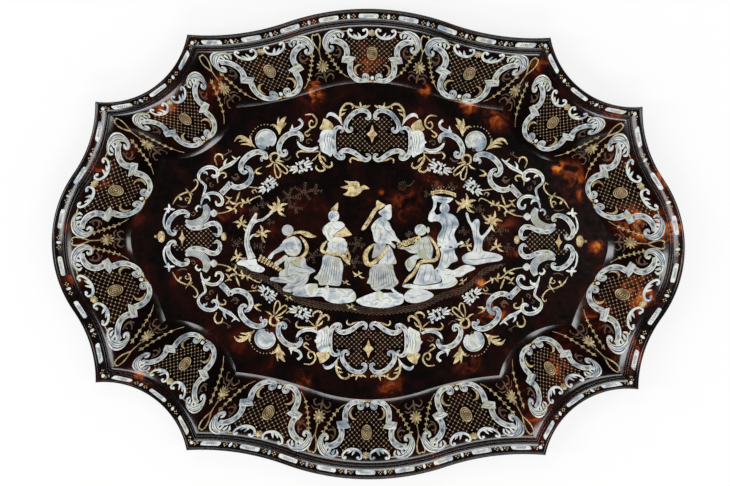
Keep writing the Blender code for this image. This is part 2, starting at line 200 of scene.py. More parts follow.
def wallHeight(inset):
    return floorMm + (wallTop - floorMm) * ogee(np.clip((wellIn - inset) / tray["wallSpan"], 0, 1))


def wallPoint(side, share, inset):
    plan = planAt(side, share, inset)
    return np.concatenate([plan, wallHeight(inset)[..., None]], axis=-1)


# each of these lays a flat drawing (x, y, height in mm) on one surface of the tray
def onWall(side, start, stretch=1.0, climb=0.0):
    half = halfMid[sides[side][0]]

    def place(flat):
        share = (start + flat[:, 0] * stretch) / half
        inset = wellIn - flat[:, 1] - climb
        here = wallPoint(side, share, inset)
        along = wallPoint(side, share + 0.004, inset) - wallPoint(side, share - 0.004, inset)
        uphill = wallPoint(side, share, inset - 0.8) - wallPoint(side, share, inset + 0.8)
        normal = np.cross(along, uphill)
        normal /= np.linalg.norm(normal, axis=1)[:, None]
        return here + normal * flat[:, 2:3]
    return place


def onMitre(side, following):
    left = onWall(side, halfMid[sides[side][0]])
    right = onWall(following, -halfMid[sides[following][0]])

    def place(flat):
        return np.where(flat[:, 0:1] < 0, left(np.minimum(flat, [0, 99, 99])),
                right(np.maximum(flat, [0, -99, -99])))
    return place


def onRim(side, share):
    half = halfRim[sides[side][0]]

    def place(flat):
        plan = planAt(side, share + flat[:, 0] / half, rimInlay["line"] - flat[:, 1])
        height = trayTop - tray["bandSunk"] + flat[:, 2:3]
        return np.concatenate([plan, height], axis=1)
    return place


def onFloor(flipX=1, flipY=1, axisX=0.0, axisY=0.0):
    def place(flat):
        x = axisX + flipX * (flat[:, 0] - axisX)
        y = axisY + flipY * (flat[:, 1] - axisY)
        return np.stack([x, y, floorMm + flat[:, 2]], axis=1)
    return place


# materials

# sRGB hex to linear
def linear(code):
    channels = [int(code[k:k + 2], 16) / 255 for k in (1, 3, 5)]
    return [c / 12.92 if c <= 0.04045 else ((c + 0.055) / 1.055) ** 2.4 for c in channels] + [1]


def addNode(tree, kind, settings=None, links=None):
    node = tree.nodes.new(kind)
    for key, value in (settings or {}).items():
        if isinstance(key, str) and hasattr(node, key):
            setattr(node, key, value)
        else:
            node.inputs[key].default_value = value
    for key, source in (links or {}).items():
        tree.links.new(source, node.inputs[key])
    return node


def addRamp(tree, source, stops):
    ramp = addNode(tree, "ShaderNodeValToRGB", {}, {"Fac": source})
    elements = ramp.color_ramp.elements
    while len(elements) > 1:
        elements.remove(elements[-1])
    elements[0].position, elements[0].color = stops[0]
    for position, colour in stops[1:]:
        elements.new(position).color = colour
    return ramp.outputs["Color"]


def blankMaterial(name):
    material = bpy.data.materials.new(name)
    material.use_nodes = True
    tree = material.node_tree
    return material, tree, tree.nodes["Principled BSDF"]


shellLook = {
    "black": "#0a0505", "brown": "#1c0906", "red": "#4a120a", "amber": "#b4541a",
    "cloud": 34, "grain": 4.0, "roughness": 0.11, "ior": 1.55,
    # amber clouds where light comes through the shell: x, y, radius, strength
    "patches": [(-50, 133, 17, .9), (48, 136, 10, .8), (88, 122, 16, .5), (168, 68, 12, 1),
    (180, 60, 26, .5),
                (112, 112, 22, .45), (204, -4, 13, .8), (128, -9, 9, .7), (62, 52, 10, .6),
                (100, -36, 8, .7),
                (-180, 120, 20, .5), (-125, 30, 26, .4), (-104, 24, 10, .45), (196, 160, 22, .6),
                (150, 160, 18, .4), (266, 20, 26, .7), (258, 62, 18, .6), (232, -92, 26, .6),
                (150, -150, 26, .4), (60, -182, 20, .3), (-60, -160, 22, .3), (-200, -120, 22, .5),
                (-262, -30, 18, .45), (-236, 60, 22, .5), (0, 160, 26, .35), (90, -110, 26, .35),
                (184, 44, 14, .5), (10, 45, 6, .5), (-135, 140, 16, .6), (215, 118, 16, .5),
                (34, 34, 30, .34),
               (56, 58, 26, .34), (120, 20, 24, .3), (110, -64, 26, .55), (238, 20, 34, .6),
               (240, -40, 30, .6),
               (205, -60, 26, .5), (222, 84, 24, .5), (170, -110, 26, .5), (20, -128, 24, .4),
               (-60, -128, 22, .35)],
}


def makeShell():
    # hawksbill plate, welded by heat and polished: deep mottled brown with amber clouds, wet gloss
    material, tree, shader = blankMaterial("tortoiseshellPolished")
    coords = addNode(tree, "ShaderNodeTexCoord").outputs["Object"]
    cloud = addNode(tree, "ShaderNodeTexNoise", {"Scale": 1000 / shellLook["cloud"], "Detail": 5.0,
                    "Roughness": 0.62, "Distortion": 0.6}, {"Vector": coords}).outputs["Fac"]
    base = addRamp(tree, cloud, [(0.44, linear(shellLook["black"])), (0.60, linear(shellLook["brown"])),
                                 (0.72, linear(shellLook["red"])), (0.88, linear(shellLook["amber"]))])
    glow = None
    for x, y, radius, strength in shellLook["patches"]:
        squash = addNode(tree, "ShaderNodeVectorMath", {"operation": "MULTIPLY"}, {0: coords})
        squash.inputs[1].default_value = (1, 1, 0)
        apart = addNode(tree, "ShaderNodeVectorMath", {"operation": "DISTANCE"}, {0: squash.outputs[0]})
        apart.inputs[1].default_value = (x * mm, y * mm, 0)
        fade = addNode(tree, "ShaderNodeMapRange", {"interpolation_type": "SMOOTHSTEP",
                "From Max": radius * mm,
                       "To Min": strength, "To Max": 0.0}, {"Value": apart.outputs["Value"]}).outputs[0]
        if glow is None:
            glow = fade
        else:
            glow = addNode(tree, "ShaderNodeMath", {"operation": "MAXIMUM"}, {0: glow, 1: fade}).outputs[0]
    torn = addNode(tree, "ShaderNodeTexNoise", {"Scale": 1000 / 13, "Detail": 6.0, "Roughness": 0.6,
                   "Distortion": 0.8}, {"Vector": coords}).outputs["Fac"]
    edge = addNode(tree, "ShaderNodeMapRange",
            {"From Min": 0.38, "From Max": 0.66}, {"Value": torn}).outputs[0]
    mask = addNode(tree, "ShaderNodeMath", {"operation": "MULTIPLY"}, {0: glow, 1: edge}).outputs[0]
    warm = addRamp(tree, mask, [(0.0, linear("#0c0504")), (0.14, linear("#4a170b")),
            (0.34, linear("#8f3f14")),
                                (0.62, linear("#cf7f30"))])
    share = addNode(tree, "ShaderNodeMath", {"operation": "MULTIPLY", "use_clamp": True}, {0: mask})
    share.inputs[1].default_value = 3.0
    colour = addNode(tree, "ShaderNodeMix", {"data_type": "RGBA"})
    tree.links.new(share.outputs[0], colour.inputs["Factor"])
    tree.links.new(base, colour.inputs[6])
    tree.links.new(warm, colour.inputs[7])
    tree.links.new(colour.outputs[2], shader.inputs["Base Color"])
    rub = addNode(tree, "ShaderNodeTexNoise", {"Scale": 1000 / shellLook["grain"], "Detail": 4.0},
                  {"Vector": coords}).outputs["Fac"]
    rough = addNode(tree, "ShaderNodeMapRange", {"To Min": shellLook["roughness"] - 0.03,
                    "To Max": shellLook["roughness"] + 0.07}, {"Value": rub}).outputs[0]
    tree.links.new(rough, shader.inputs["Roughness"])
    wave = addNode(tree, "ShaderNodeTexNoise",
            {"Scale": 1000 / 22, "Detail": 2.0}, {"Vector": coords}).outputs["Fac"]
    bump = addNode(tree, "ShaderNodeBump", {"Strength": 0.25, "Distance": 0.0008}, {"Height": wave})
    tree.links.new(bump.outputs[0], shader.inputs["Normal"])
    shader.inputs["IOR"].default_value = shellLook["ior"]
    return material


# blue, green and rose are painted iridescent sheen held as fixed colour; white and grey are the nacre's own
# tone
pearlLook = {"white": "#c6cbcb", "blue": "#9aa8b2", "green": "#bcc6a8", "rose": "#c6b4c6",
        "grey": "#6d7882",
             "line": "#23201f", "cloud": 15, "streak": 1.1, "roughness": 0.24, "ior": 1.6}


def makePearl(name, channelled):
    # mother-of-pearl, sawn, engraved and polished: milky white that drifts to blue, green and rose; the
    # white and grey are the nacre's own tone, the blue, green and rose are its iridescent sheen painted in
    # as fixed colour
    material, tree, shader = blankMaterial(name)
    coords = addNode(tree, "ShaderNodeTexCoord").outputs["Object"]
    # this noise spreads the nacre's own tone together with its painted iridescent sheen
    tintAndSheen = addNode(tree, "ShaderNodeTexNoise", {"Scale": 1000 / pearlLook["cloud"], "Detail": 3.0,
                    "Roughness": 0.55, "Distortion": 1.2}, {"Vector": coords}).outputs["Fac"]
    colour = addRamp(tree, tintAndSheen, [(0.26, linear(pearlLook["grey"])), (0.37, linear(pearlLook["blue"])),
                                   (0.46, linear(pearlLook["white"])), (0.54, linear("#e2e4e2")),
                                   (0.62, linear(pearlLook["green"])), (0.72, linear(pearlLook["rose"]))])
    shade = addNode(tree, "ShaderNodeAttribute", {"attribute_name": "shade"}).outputs["Fac"]
    shade = addNode(tree, "ShaderNodeMath", {"operation": "SUBTRACT", 0: 1.0}, {1: shade}).outputs[0]
    toned = addNode(tree, "ShaderNodeMix", {"data_type": "RGBA", "blend_type": "MULTIPLY"})
    toned.inputs["Factor"].default_value = 1
    tree.links.new(colour, toned.inputs[6])
    tree.links.new(shade, toned.inputs[7])
    colour = toned.outputs[2]
    streak = addNode(tree, "ShaderNodeTexNoise", {"Scale": 1000 / pearlLook["streak"], "Detail": 3.0},
                     {"Vector": coords}).outputs["Fac"]
    if channelled:
        across = addNode(tree, "ShaderNodeAttribute", {"attribute_name": "across"}).outputs["Fac"]
        along = addNode(tree, "ShaderNodeAttribute", {"attribute_name": "along"}).outputs["Fac"]
        side = addNode(tree, "ShaderNodeMath", {"operation": "ABSOLUTE"}, {0: across}).outputs[0]
        contour = addRamp(tree, side, [(0.0, (0.26, 0.26, 0.26, 1)), (0.42, (0.20, 0.20, 0.20, 1)),
                                       (0.47, (0.95, 0.95, 0.95, 1)), (0.57, (0.95, 0.95, 0.95, 1)),
                                       (0.62, (0, 0, 0, 1))])
        turn = addNode(tree, "ShaderNodeMath", {"operation": "MULTIPLY", 1: 0.72}, {0: along}).outputs[0]
        beat = addNode(tree, "ShaderNodeMath", {"operation": "SINE"}, {0: turn}).outputs[0]
        beat = addNode(tree, "ShaderNodeMath", {"operation": "MULTIPLY_ADD",
                1: 0.36, 2: 0.04}, {0: beat}).outputs[0]
        lens = addNode(tree, "ShaderNodeMath", {"operation": "SUBTRACT"}, {0: beat, 1: side}).outputs[0]
        lens = addNode(tree, "ShaderNodeMapRange",
                {"From Min": -0.02, "From Max": 0.1, "To Max": 0.9}, {"Value": lens}).outputs[0]
        mark = addNode(tree, "ShaderNodeMath", {"operation": "MAXIMUM"}, {0: contour, 1: lens}).outputs[0]
        cut = addNode(tree, "ShaderNodeMix", {"data_type": "RGBA"})
        cut.inputs[7].default_value = linear("#42464a")
        tree.links.new(mark, cut.inputs["Factor"])
        tree.links.new(colour, cut.inputs[6])
        colour = cut.outputs[2]
    tree.links.new(colour, shader.inputs["Base Color"])
    rough = addNode(tree, "ShaderNodeMapRange", {"To Min": pearlLook["roughness"] - 0.08,
                    "To Max": pearlLook["roughness"] + 0.16}, {"Value": streak}).outputs[0]
    tree.links.new(rough, shader.inputs["Roughness"])
    bump = addNode(tree, "ShaderNodeBump", {"Strength": 0.35, "Distance": 0.0004}, {"Height": streak})
    tree.links.new(bump.outputs[0], shader.inputs["Normal"])
    shader.inputs["IOR"].default_value = pearlLook["ior"]
    shader.inputs["Coat Weight"].default_value = 0.3
    shader.inputs["Coat Roughness"].default_value = 0.12
    return material


def makeGold(name, light, dark, roughness, metallic, chase):
    # gold sheet and wire, chased with a punch and softly rubbed: pale and satin, darker in random patches
    material, tree, shader = blankMaterial(name)
    coords = addNode(tree, "ShaderNodeTexCoord").outputs["Object"]
    tone = addNode(tree, "ShaderNodeTexNoise", {"Scale": 1000 / 5, "Detail": 4.0, "Roughness": 0.6},
                   {"Vector": coords}).outputs["Fac"]
    colour = addRamp(tree, tone, [(0.30, linear(dark)), (0.62, linear(light))])
    tree.links.new(colour, shader.inputs["Base Color"])
    punch = addNode(tree, "ShaderNodeTexVoronoi",
            {"Scale": 1000 / chase}, {"Vector": coords}).outputs["Distance"]
    bump = addNode(tree, "ShaderNodeBump", {"Strength": 0.9, "Distance": 0.0005}, {"Height": punch})
    tree.links.new(bump.outputs[0], shader.inputs["Normal"])
    rough = addNode(tree, "ShaderNodeMapRange", {"To Min": roughness - 0.06, "To Max": roughness + 0.12},
                    {"Value": tone}).outputs[0]
    tree.links.new(rough, shader.inputs["Roughness"])
    shader.inputs["Metallic"].default_value = metallic
    return material


def makeMastic():
    # lamp-black mastic rubbed into the engraved lines: matt and nearly black
    material, tree, shader = blankMaterial("masticBlack")
    coords = addNode(tree, "ShaderNodeTexCoord").outputs["Object"]
    tone = addNode(tree, "ShaderNodeTexNoise", {"Scale": 1000 / 3}, {"Vector": coords}).outputs["Fac"]
    colour = addRamp(tree, tone, [(0.3, linear("#241f1d")), (0.7, linear("#3d3a39"))])
    tree.links.new(colour, shader.inputs["Base Color"])
    shader.inputs["Roughness"].default_value = 0.6
    return material


print("materials")
shellMaterial = makeShell()
looks = {
    "pearlBand": (makePearl("motherOfPearlChannelled", True), "mother_of_pearl"),
    "pearl": (makePearl("motherOfPearlPolished", False), "mother_of_pearl"),
    "gold": (makeGold("goldChased", "#e6d3a2", "#84693c", 0.38, 0.5, 1.3), "gold"),
    "pin": (makeGold("goldPin", "#d9c8a0", "#a08a62", 0.45, 0.4, 0.9), "gold"),
    "dim": (makeGold("goldPinworkWorn", "#7d6450", "#4c3a2e", 0.55, 0.45, 0.7), "gold"),
    "line": (makeMastic(), "mother_of_pearl"),
}


# flat ornament: everything is drawn in mm on a plane, and laid on the tray afterwards

# a smooth line through points, sampled about every step mm
def smoothPath(points, step, closed=False):
    rows = [np.array(point, dtype=float) for point in points]
    count = len(rows)
    path = []
    for k in range(count if closed else count - 1):
        if closed:
            a, b, c, d = (rows[(k + offset) % count] for offset in (-1, 0, 1, 2))
        else:
            a, b, c, d = rows[max(k - 1, 0)], rows[k], rows[k + 1], rows[min(k + 2, count - 1)]
        steps = max(1, math.ceil(np.linalg.norm(c[:2] - b[:2]) / step))
        for t in np.arange(steps) / steps:
            path.append(0.5 * (2 * b + (c - a) * t + (2 * a - 5 * b + 4 * c - d) * t ** 2
                               + (3 * b - a - 3 * c + d) * t ** 3))
    if not closed:
        path.append(rows[-1])
    return path


profiles = {
    "channel": [(-.5, -.3), (-.5, .6), (-.40, 1), (-.22, .72), (.22, .72), (.40, 1), (.5, .6), (.5, -.3)],
    "ridge": [(-.5, -.3), (-.42, .55), (0, 1), (.42, .55), (.5, -.3)],
    "flat": [(-.5, -.3), (-.46, 1), (.46, 1), (.5, -.3)],
}


# one flat drawing, with a mesh for each finish
class Sheet:
    def __init__(self):
        self.parts = {}

    def mesh(self, look):
        if look not in self.parts:
            bm = bmesh.new()
            for layer in ("along", "across", "shade"):
                bm.verts.layers.float.new(layer)
            self.parts[look] = bm
        return self.parts[look]

    def layer(self, look, name):
        return self.mesh(look).verts.layers.float[name]

    def band(self, look, points, height=0.5, profile="ridge", step=1.3, shade=0.0, lift=0.0, flip=1):
        # a strip along a smooth line of (x, y, width)
        bm = self.mesh(look)
        path = smoothPath([(x * flip, y, w) for x, y, w in points], step)
        shape = profiles[profile]
        grid = bmesh.ops.create_grid(bm, x_segments=len(path) - 1, y_segments=len(shape), size=1)["verts"]
        along, across, tone = (self.layer(look, name) for name in ("along", "across", "shade"))
        travelled = np.concatenate([[0], np.cumsum([np.linalg.norm(b[:2] - a[:2]) for a, b in zip(path,
                path[1:])])])
        for vert in grid:
            k = round((vert.co.x + 1) / 2 * (len(path) - 1))
            j = round((vert.co.y + 1) / 2 * len(shape)) % len(shape)
            ahead = path[min(k + 1, len(path) - 1)] - path[max(k - 1, 0)]
            length = math.hypot(ahead[0], ahead[1]) or 1
            side, rise = shape[j]
            x, y, width = path[k]
            width = max(width, 0.15)
            vert.co = (x - ahead[1] / length * side * width, y + ahead[0] / length * side * width,
                       lift + rise * height)
            vert[along] = travelled[k]
            vert[across] = side * 2
            vert[tone] = shade
        bmesh.ops.remove_doubles(bm, verts=grid, dist=1e-5)
        rest = [vert for vert in grid if vert.is_valid]
        rims = {edge for vert in rest for edge in vert.link_edges if edge.is_boundary}
        bmesh.ops.holes_fill(bm, edges=list(rims), sides=len(shape))

    def plate(self, look, points, height=0.5, step=1.5, smooth=True, shade=0.0, lift=0.0, flip=1,
            edge=0.16):
        # a sawn piece with a softened upper edge
        bm = self.mesh(look)
        tone = self.layer(look, "shade")
        points = [(x * flip, y) for x, y in points]
        outline = smoothPath(points, step, closed=True) if smooth else points
        verts = [bm.verts.new((point[0], point[1], lift - 0.3 * height)) for point in outline]
        made = bmesh.ops.extrude_face_region(bm, geom=[bm.faces.new(verts)])["geom"]
        top = [item for item in made if isinstance(item, bmesh.types.BMVert)]
        bmesh.ops.translate(bm, verts=top, vec=(0, 0, 1.3 * height))
        for vert in verts + top:
            vert[tone] = shade
        crown = {e for vert in top for e in vert.link_edges if e.other_vert(vert) in top}
        bmesh.ops.bevel(bm, geom=list(crown), offset=edge, segments=1, profile=0.5, affect="EDGES",
                material=-1,
                        clamp_overlap=True)

    def bead(self, look, x, y, radiusX, radiusY=None, height=0.5, turn=0.0, shade=0.0, fine=2, lift=0.0):
        bm = self.mesh(look)
        tone = self.layer(look, "shade")
        matrix = (Matrix.Translation((x, y, lift)) @ Matrix.Rotation(turn, 4, "Z")
                  @ Matrix.Diagonal((radiusX, radiusY or radiusX, height, 1)))
        for vert in bmesh.ops.create_icosphere(bm, subdivisions=fine, radius=1, matrix=matrix)["verts"]:
            vert[tone] = shade

    def pin(self, look, x, y, radius, height=0.3):
        # a driven pin: a low six-sided stud
        bmesh.ops.create_cone(self.mesh(look),
                cap_ends=True, segments=6, radius1=radius, radius2=radius * 0.55,
                              depth=height * 1.4, matrix=Matrix.Translation((x, y, height * 0.4)))

    def bar(self, look, start, end, width, height=0.2):
        middle = ((start[0] + end[0]) / 2, (start[1] + end[1]) / 2, height * 0.3)
        angle = math.atan2(end[1] - start[1], end[0] - start[0])
        size = (math.dist(start, end), width, height * 1.4, 1)
        matrix = Matrix.Translation(middle) @ Matrix.Rotation(angle, 4, "Z") @ Matrix.Diagonal(size)
        bmesh.ops.create_cube(self.mesh(look), size=1, matrix=matrix)

    def lines(self, strokes, width=0.42, lift=0.5, flip=1):
        # engraved lines, drawn about twice as wide as the real ones so that they show
        for stroke in strokes:
            last = len(stroke) - 1
            points = [(x, y, width * (0.35 if k in (0, last) else 1)) for k, (x, y) in enumerate(stroke)]
            self.band("line", points, height=0.05, profile="flat", step=2.2, lift=lift, flip=flip)

    def engrave(self, points, offsets, lift, width=0.36, flip=1, trim=2):
        # lines that follow a band at shares of its half width
        path = smoothPath([(x * flip, y, w) for x, y, w in points], 2.4)
        for offset in offsets:
            stroke = []
            for k in range(trim, len(path) - trim):
                x, y, w = path[k]
                ahead = path[min(k + 1, len(path) - 1)] - path[k - 1]
                length = math.hypot(ahead[0], ahead[1]) or 1
                stroke.append((x - ahead[1] / length * offset * w / 2,
                        y + ahead[0] / length * offset * w / 2))
            if len(stroke) > 2:
                self.lines([stroke], width=width, lift=lift)

    def lay(self, name, place, mirrored=False):
        # sets a copy of every part on the tray, each in its own finish
        made = []
        for look, source in self.parts.items():
            bm = source.copy()
            bmesh.ops.recalc_face_normals(bm, faces=bm.faces)
            flat = np.array([vert.co[:] for vert in bm.verts])
            for vert, spot in zip(bm.verts, place(flat) * mm):
                vert.co = spot
            if mirrored:
                bmesh.ops.reverse_faces(bm, faces=bm.faces)
            material, slot = looks[look]
            made.append(finishPiece(f"{name}_{look}", bm, material))
        return made


def finishPiece(name, bm, material, sharp=38):
    mesh = bpy.data.meshes.new(name)
    bm.to_mesh(mesh)
    bm.free()
    mesh.materials.append(material)
    mesh.shade_smooth()
    mesh.set_sharp_from_angle(angle=math.radians(sharp))
    piece = bpy.data.objects.new(name, mesh)
    bpy.context.scene.collection.objects.link(piece)
    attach(piece, "root")
    return piece


def curl(x, y, inner, outer, first, last, thin, wide, steps=9):
    # a scroll's eye: a spiral from its middle outwards, as (x, y, width)
    points = []
    for k in range(steps + 1):
        share = k / steps
        angle = math.radians(first + (last - first) * share)
        radius = inner + (outer - inner) * share
        points.append((x + radius * math.cos(angle), y + radius * math.sin(angle),
                thin + (wide - thin) * share))
    return points


def inside(polygon, x, y):
    hit = False
    for (x1, y1), (x2, y2) in zip(polygon, polygon[1:] + polygon[:1]):
        if (y1 > y) != (y2 > y) and x < (x2 - x1) * (y - y1) / (y2 - y1) + x1:
            hit = not hit
    return hit


def lattice(sheet, polygon, pitch, spare=()):
    # crossed gold threads with a pin at every crossing, kept inside a polygon
    spread = range(-24, 25)
    midX = sum(point[0] for point in polygon) / len(polygon)
    midY = sum(point[1] for point in polygon) / len(polygon)

    def spot(i, j):
        return midX + (i + j) * pitch / 2, midY + (i - j) * pitch / 2

    def free(point):
        if not inside(polygon, *point):
            return False
        return all(((point[0] - x) / rx) ** 2 + ((point[1] - y) / ry) ** 2 > 1 for x, y, rx, ry in spare)

    for i in spread:
        for j in spread:
            here = spot(i, j)
            if not free(here):
                continue
            sheet.pin("pin", *here, 0.66)
            for there in (spot(i + 1, j), spot(i, j + 1)):
                if free(there):
                    sheet.bar("dim", here, there, 0.24)


# walls, rim and floor of shell

shellMesh = {"wallAlong": {"long": 120, "short": 100, "corner": 48}, "wallUp": 36}


def makeWalls():
    for side, (kind, _, _) in sides.items():
        bm = bmesh.new()
        columns, rows = shellMesh["wallAlong"][kind], shellMesh["wallUp"]
        grid = bmesh.ops.create_grid(bm, x_segments=columns, y_segments=rows, size=1)["verts"]
        flat = np.array([vert.co[:] for vert in grid])
        reach = tray["wallSpan"] + tray["rim"] - tray["lip"] - 0.3
        inset = wellIn - (flat[:, 1] + 1) / 2 * reach
        for vert, spot in zip(grid, wallPoint(side, flat[:, 0], inset) * mm):
            vert.co = spot
        bmesh.ops.recalc_face_normals(bm, faces=bm.faces)
        if sum(face.normal.z for face in bm.faces) < 0:
            bmesh.ops.reverse_faces(bm, faces=bm.faces)
        bmesh.ops.solidify(bm, geom=bm.faces[:], thickness=tray["wallThick"] * mm)
        bmesh.ops.recalc_face_normals(bm, faces=bm.faces)
        piece = finishPiece(f"shellWall_{side}", bm, shellMaterial, 50)
        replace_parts(piece, f"wall_{side}")


def rimSection():
    # from the inner foot of the rim, over its beads and band, down the lip, as (inset, height below the top)
    rim, lip, under = tray["rim"], tray["lip"], tray["plateUnder"] - 0.3
    section = [(rim, under), (rim, 1.0)]
    for low, high in ((rim - 1.5, rim), (rim - 3.6, rim - 2.0)):
        middle, half = (low + high) / 2, (high - low) / 2
        section += [(middle + half * math.cos(a),
                1.05 - 0.62 * math.sin(a)) for a in np.linspace(0.15, math.pi - 0.15, 7)]
    section += [(rim - 3.7, tray["bandSunk"]), (3.3, tray["bandSunk"])]
    section += [(1.65 + 1.6 * math.cos(a),
            1.3 - 1.28 * math.sin(a)) for a in np.linspace(0.25, math.pi - 0.1, 10)]
    section += [(0.04, 2.0), (0.04, tray["rimDrop"] - 0.5), (0.6, tray["rimDrop"]), (lip, tray["rimDrop"]),
            (lip, under)]
    return section


def makeRims():
    section = rimSection()
    insets = np.array([point[0] for point in section])
    heights = np.array([trayTop - point[1] for point in section])
    for side, (kind, _, _) in sides.items():
        bm = bmesh.new()
        columns = shellMesh["wallAlong"][kind]
        grid = bmesh.ops.create_grid(bm, x_segments=columns, y_segments=len(section), size=1)["verts"]
        for vert in grid:
            j = round((vert.co.y + 1) / 2 * len(section)) % len(section)
            plan = planAt(side, np.array([vert.co.x]), insets[j:j + 1])[0]
            vert.co = (plan[0] * mm, plan[1] * mm, heights[j] * mm)
        bmesh.ops.remove_doubles(bm, verts=bm.verts, dist=1e-7)
        bmesh.ops.holes_fill(bm, edges=[edge for edge in bm.edges if edge.is_boundary], sides=0)
        bmesh.ops.recalc_face_normals(bm, faces=bm.faces)
        piece = finishPiece(f"shellRim_{side}", bm, shellMaterial, 50)
        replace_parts(piece, f"rim_{side}")


def wholeOutline(inset):
    points = []
    for side in ("north", "northeast", "east", "southeast", "south", "southwest", "west", "northwest"):
        count = shellMesh["wallAlong"][sides[side][0]]
        shares = np.linspace(-1, 1, count + 1)[:-1]
        points += [Vector((x, y, 0)) for x, y in planAt(side, shares, np.full(count, float(inset)))]
    return points


def makeFloor():
    bm = bmesh.new()
    for inset, low, high in ((wellIn - 6.5, 0.0, 1.5), (wellIn, 1.5, floorMm)):
        face = bm.faces.new([bm.verts.new((point.x * mm, point.y * mm,
                low * mm)) for point in wholeOutline(inset)])
        made = bmesh.ops.extrude_face_region(bm, geom=[face])["geom"]
        top = [item for item in made if isinstance(item, bmesh.types.BMVert)]
        bmesh.ops.translate(bm, verts=top, vec=(0, 0, (high - low) * mm))
    bmesh.ops.recalc_face_normals(bm, faces=bm.faces)
    piece = finishPiece("shellFloor", bm, shellMaterial, 30)
    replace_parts(piece, "floor_plate")


# rim inlay

rimInlay = {"line": 6.3, "bars": {"long": 9, "short": 6, "corner": 3}, "barHalf": (8.8, 2.05),
        "pinGap": 4.4}


def makeRimInlay():
    halfBar, halfTall = rimInlay["barHalf"]
    outline = [(halfBar - 1.2, -halfTall), (halfBar - 0.2, -halfTall + 0.8), (halfBar, 0),
            (halfBar - 0.2, halfTall - 0.8),
               (halfBar - 1.2, halfTall), (halfBar - 1.9, halfTall - 0.35), (halfBar - 2.6, halfTall)]
    outline += [(-x, -y) for x, y in outline]
    bar = Sheet()
    bar.plate("pearl", outline, height=0.3, smooth=False, edge=0.12)
    wiggle = [(-4.6 + k * 0.92, 0.45 * (-1) ** k) for k in range(11)]
    bar.lines([wiggle, [(-5.0, -0.9), (5.0, -0.9)], [(-5.0, 0.9), (5.0, 0.9)]], width=0.5, lift=0.3)
    spacer = Sheet()
    spacer.bead("pearl", 0, 0, 1.35, 2.2, height=0.4)
    for side in (-1, 1):
        for x, y in ((0, 1.35), (0, -1.35), (1.35, 0), (-1.35, 0)):
            spacer.bead("pin", side * rimInlay["pinGap"] + x, y, 0.72, height=0.3, fine=1)
    for side, (kind, _, _) in sides.items():
        count = rimInlay["bars"][kind]
        for k in range(count):
            bar.lay(f"rimBar_{side}_{k + 1}", onRim(side, (2 * k + 1) / count - 1))
        for k in range(count + 1):
            if 0 < k < count:
                spacer.lay(f"rimSpacer_{side}_{k}", onRim(side, 2 * k / count - 1))
    dot = Sheet()
    dot.bead("pearl", 0, 0, 1.7, height=0.4)
    quatrefoil = Sheet()
    for x, y in ((0, 1.35), (0, -1.35), (1.35, 0), (-1.35, 0)):
        quatrefoil.bead("pin", x, y, 0.72, height=0.3, fine=1)
    for side, (kind, _, _) in sides.items():
        for end in (-1, 1):
            quatrefoil.lay(f"rimPins_{side}_{end + 2}",
                    onRim(side, end * (1 - rimInlay["pinGap"] / halfRim[kind])))
        cusp = planAt(side, np.array([1.0]), np.array([rimInlay["line"] + 0.6]))[0]

        def atCusp(flat, cusp=cusp):
            return flat + np.array([*cusp, trayTop - tray["bandSunk"]])
        dot.lay(f"rimDot_{side}", atCusp)


# wall cartouches

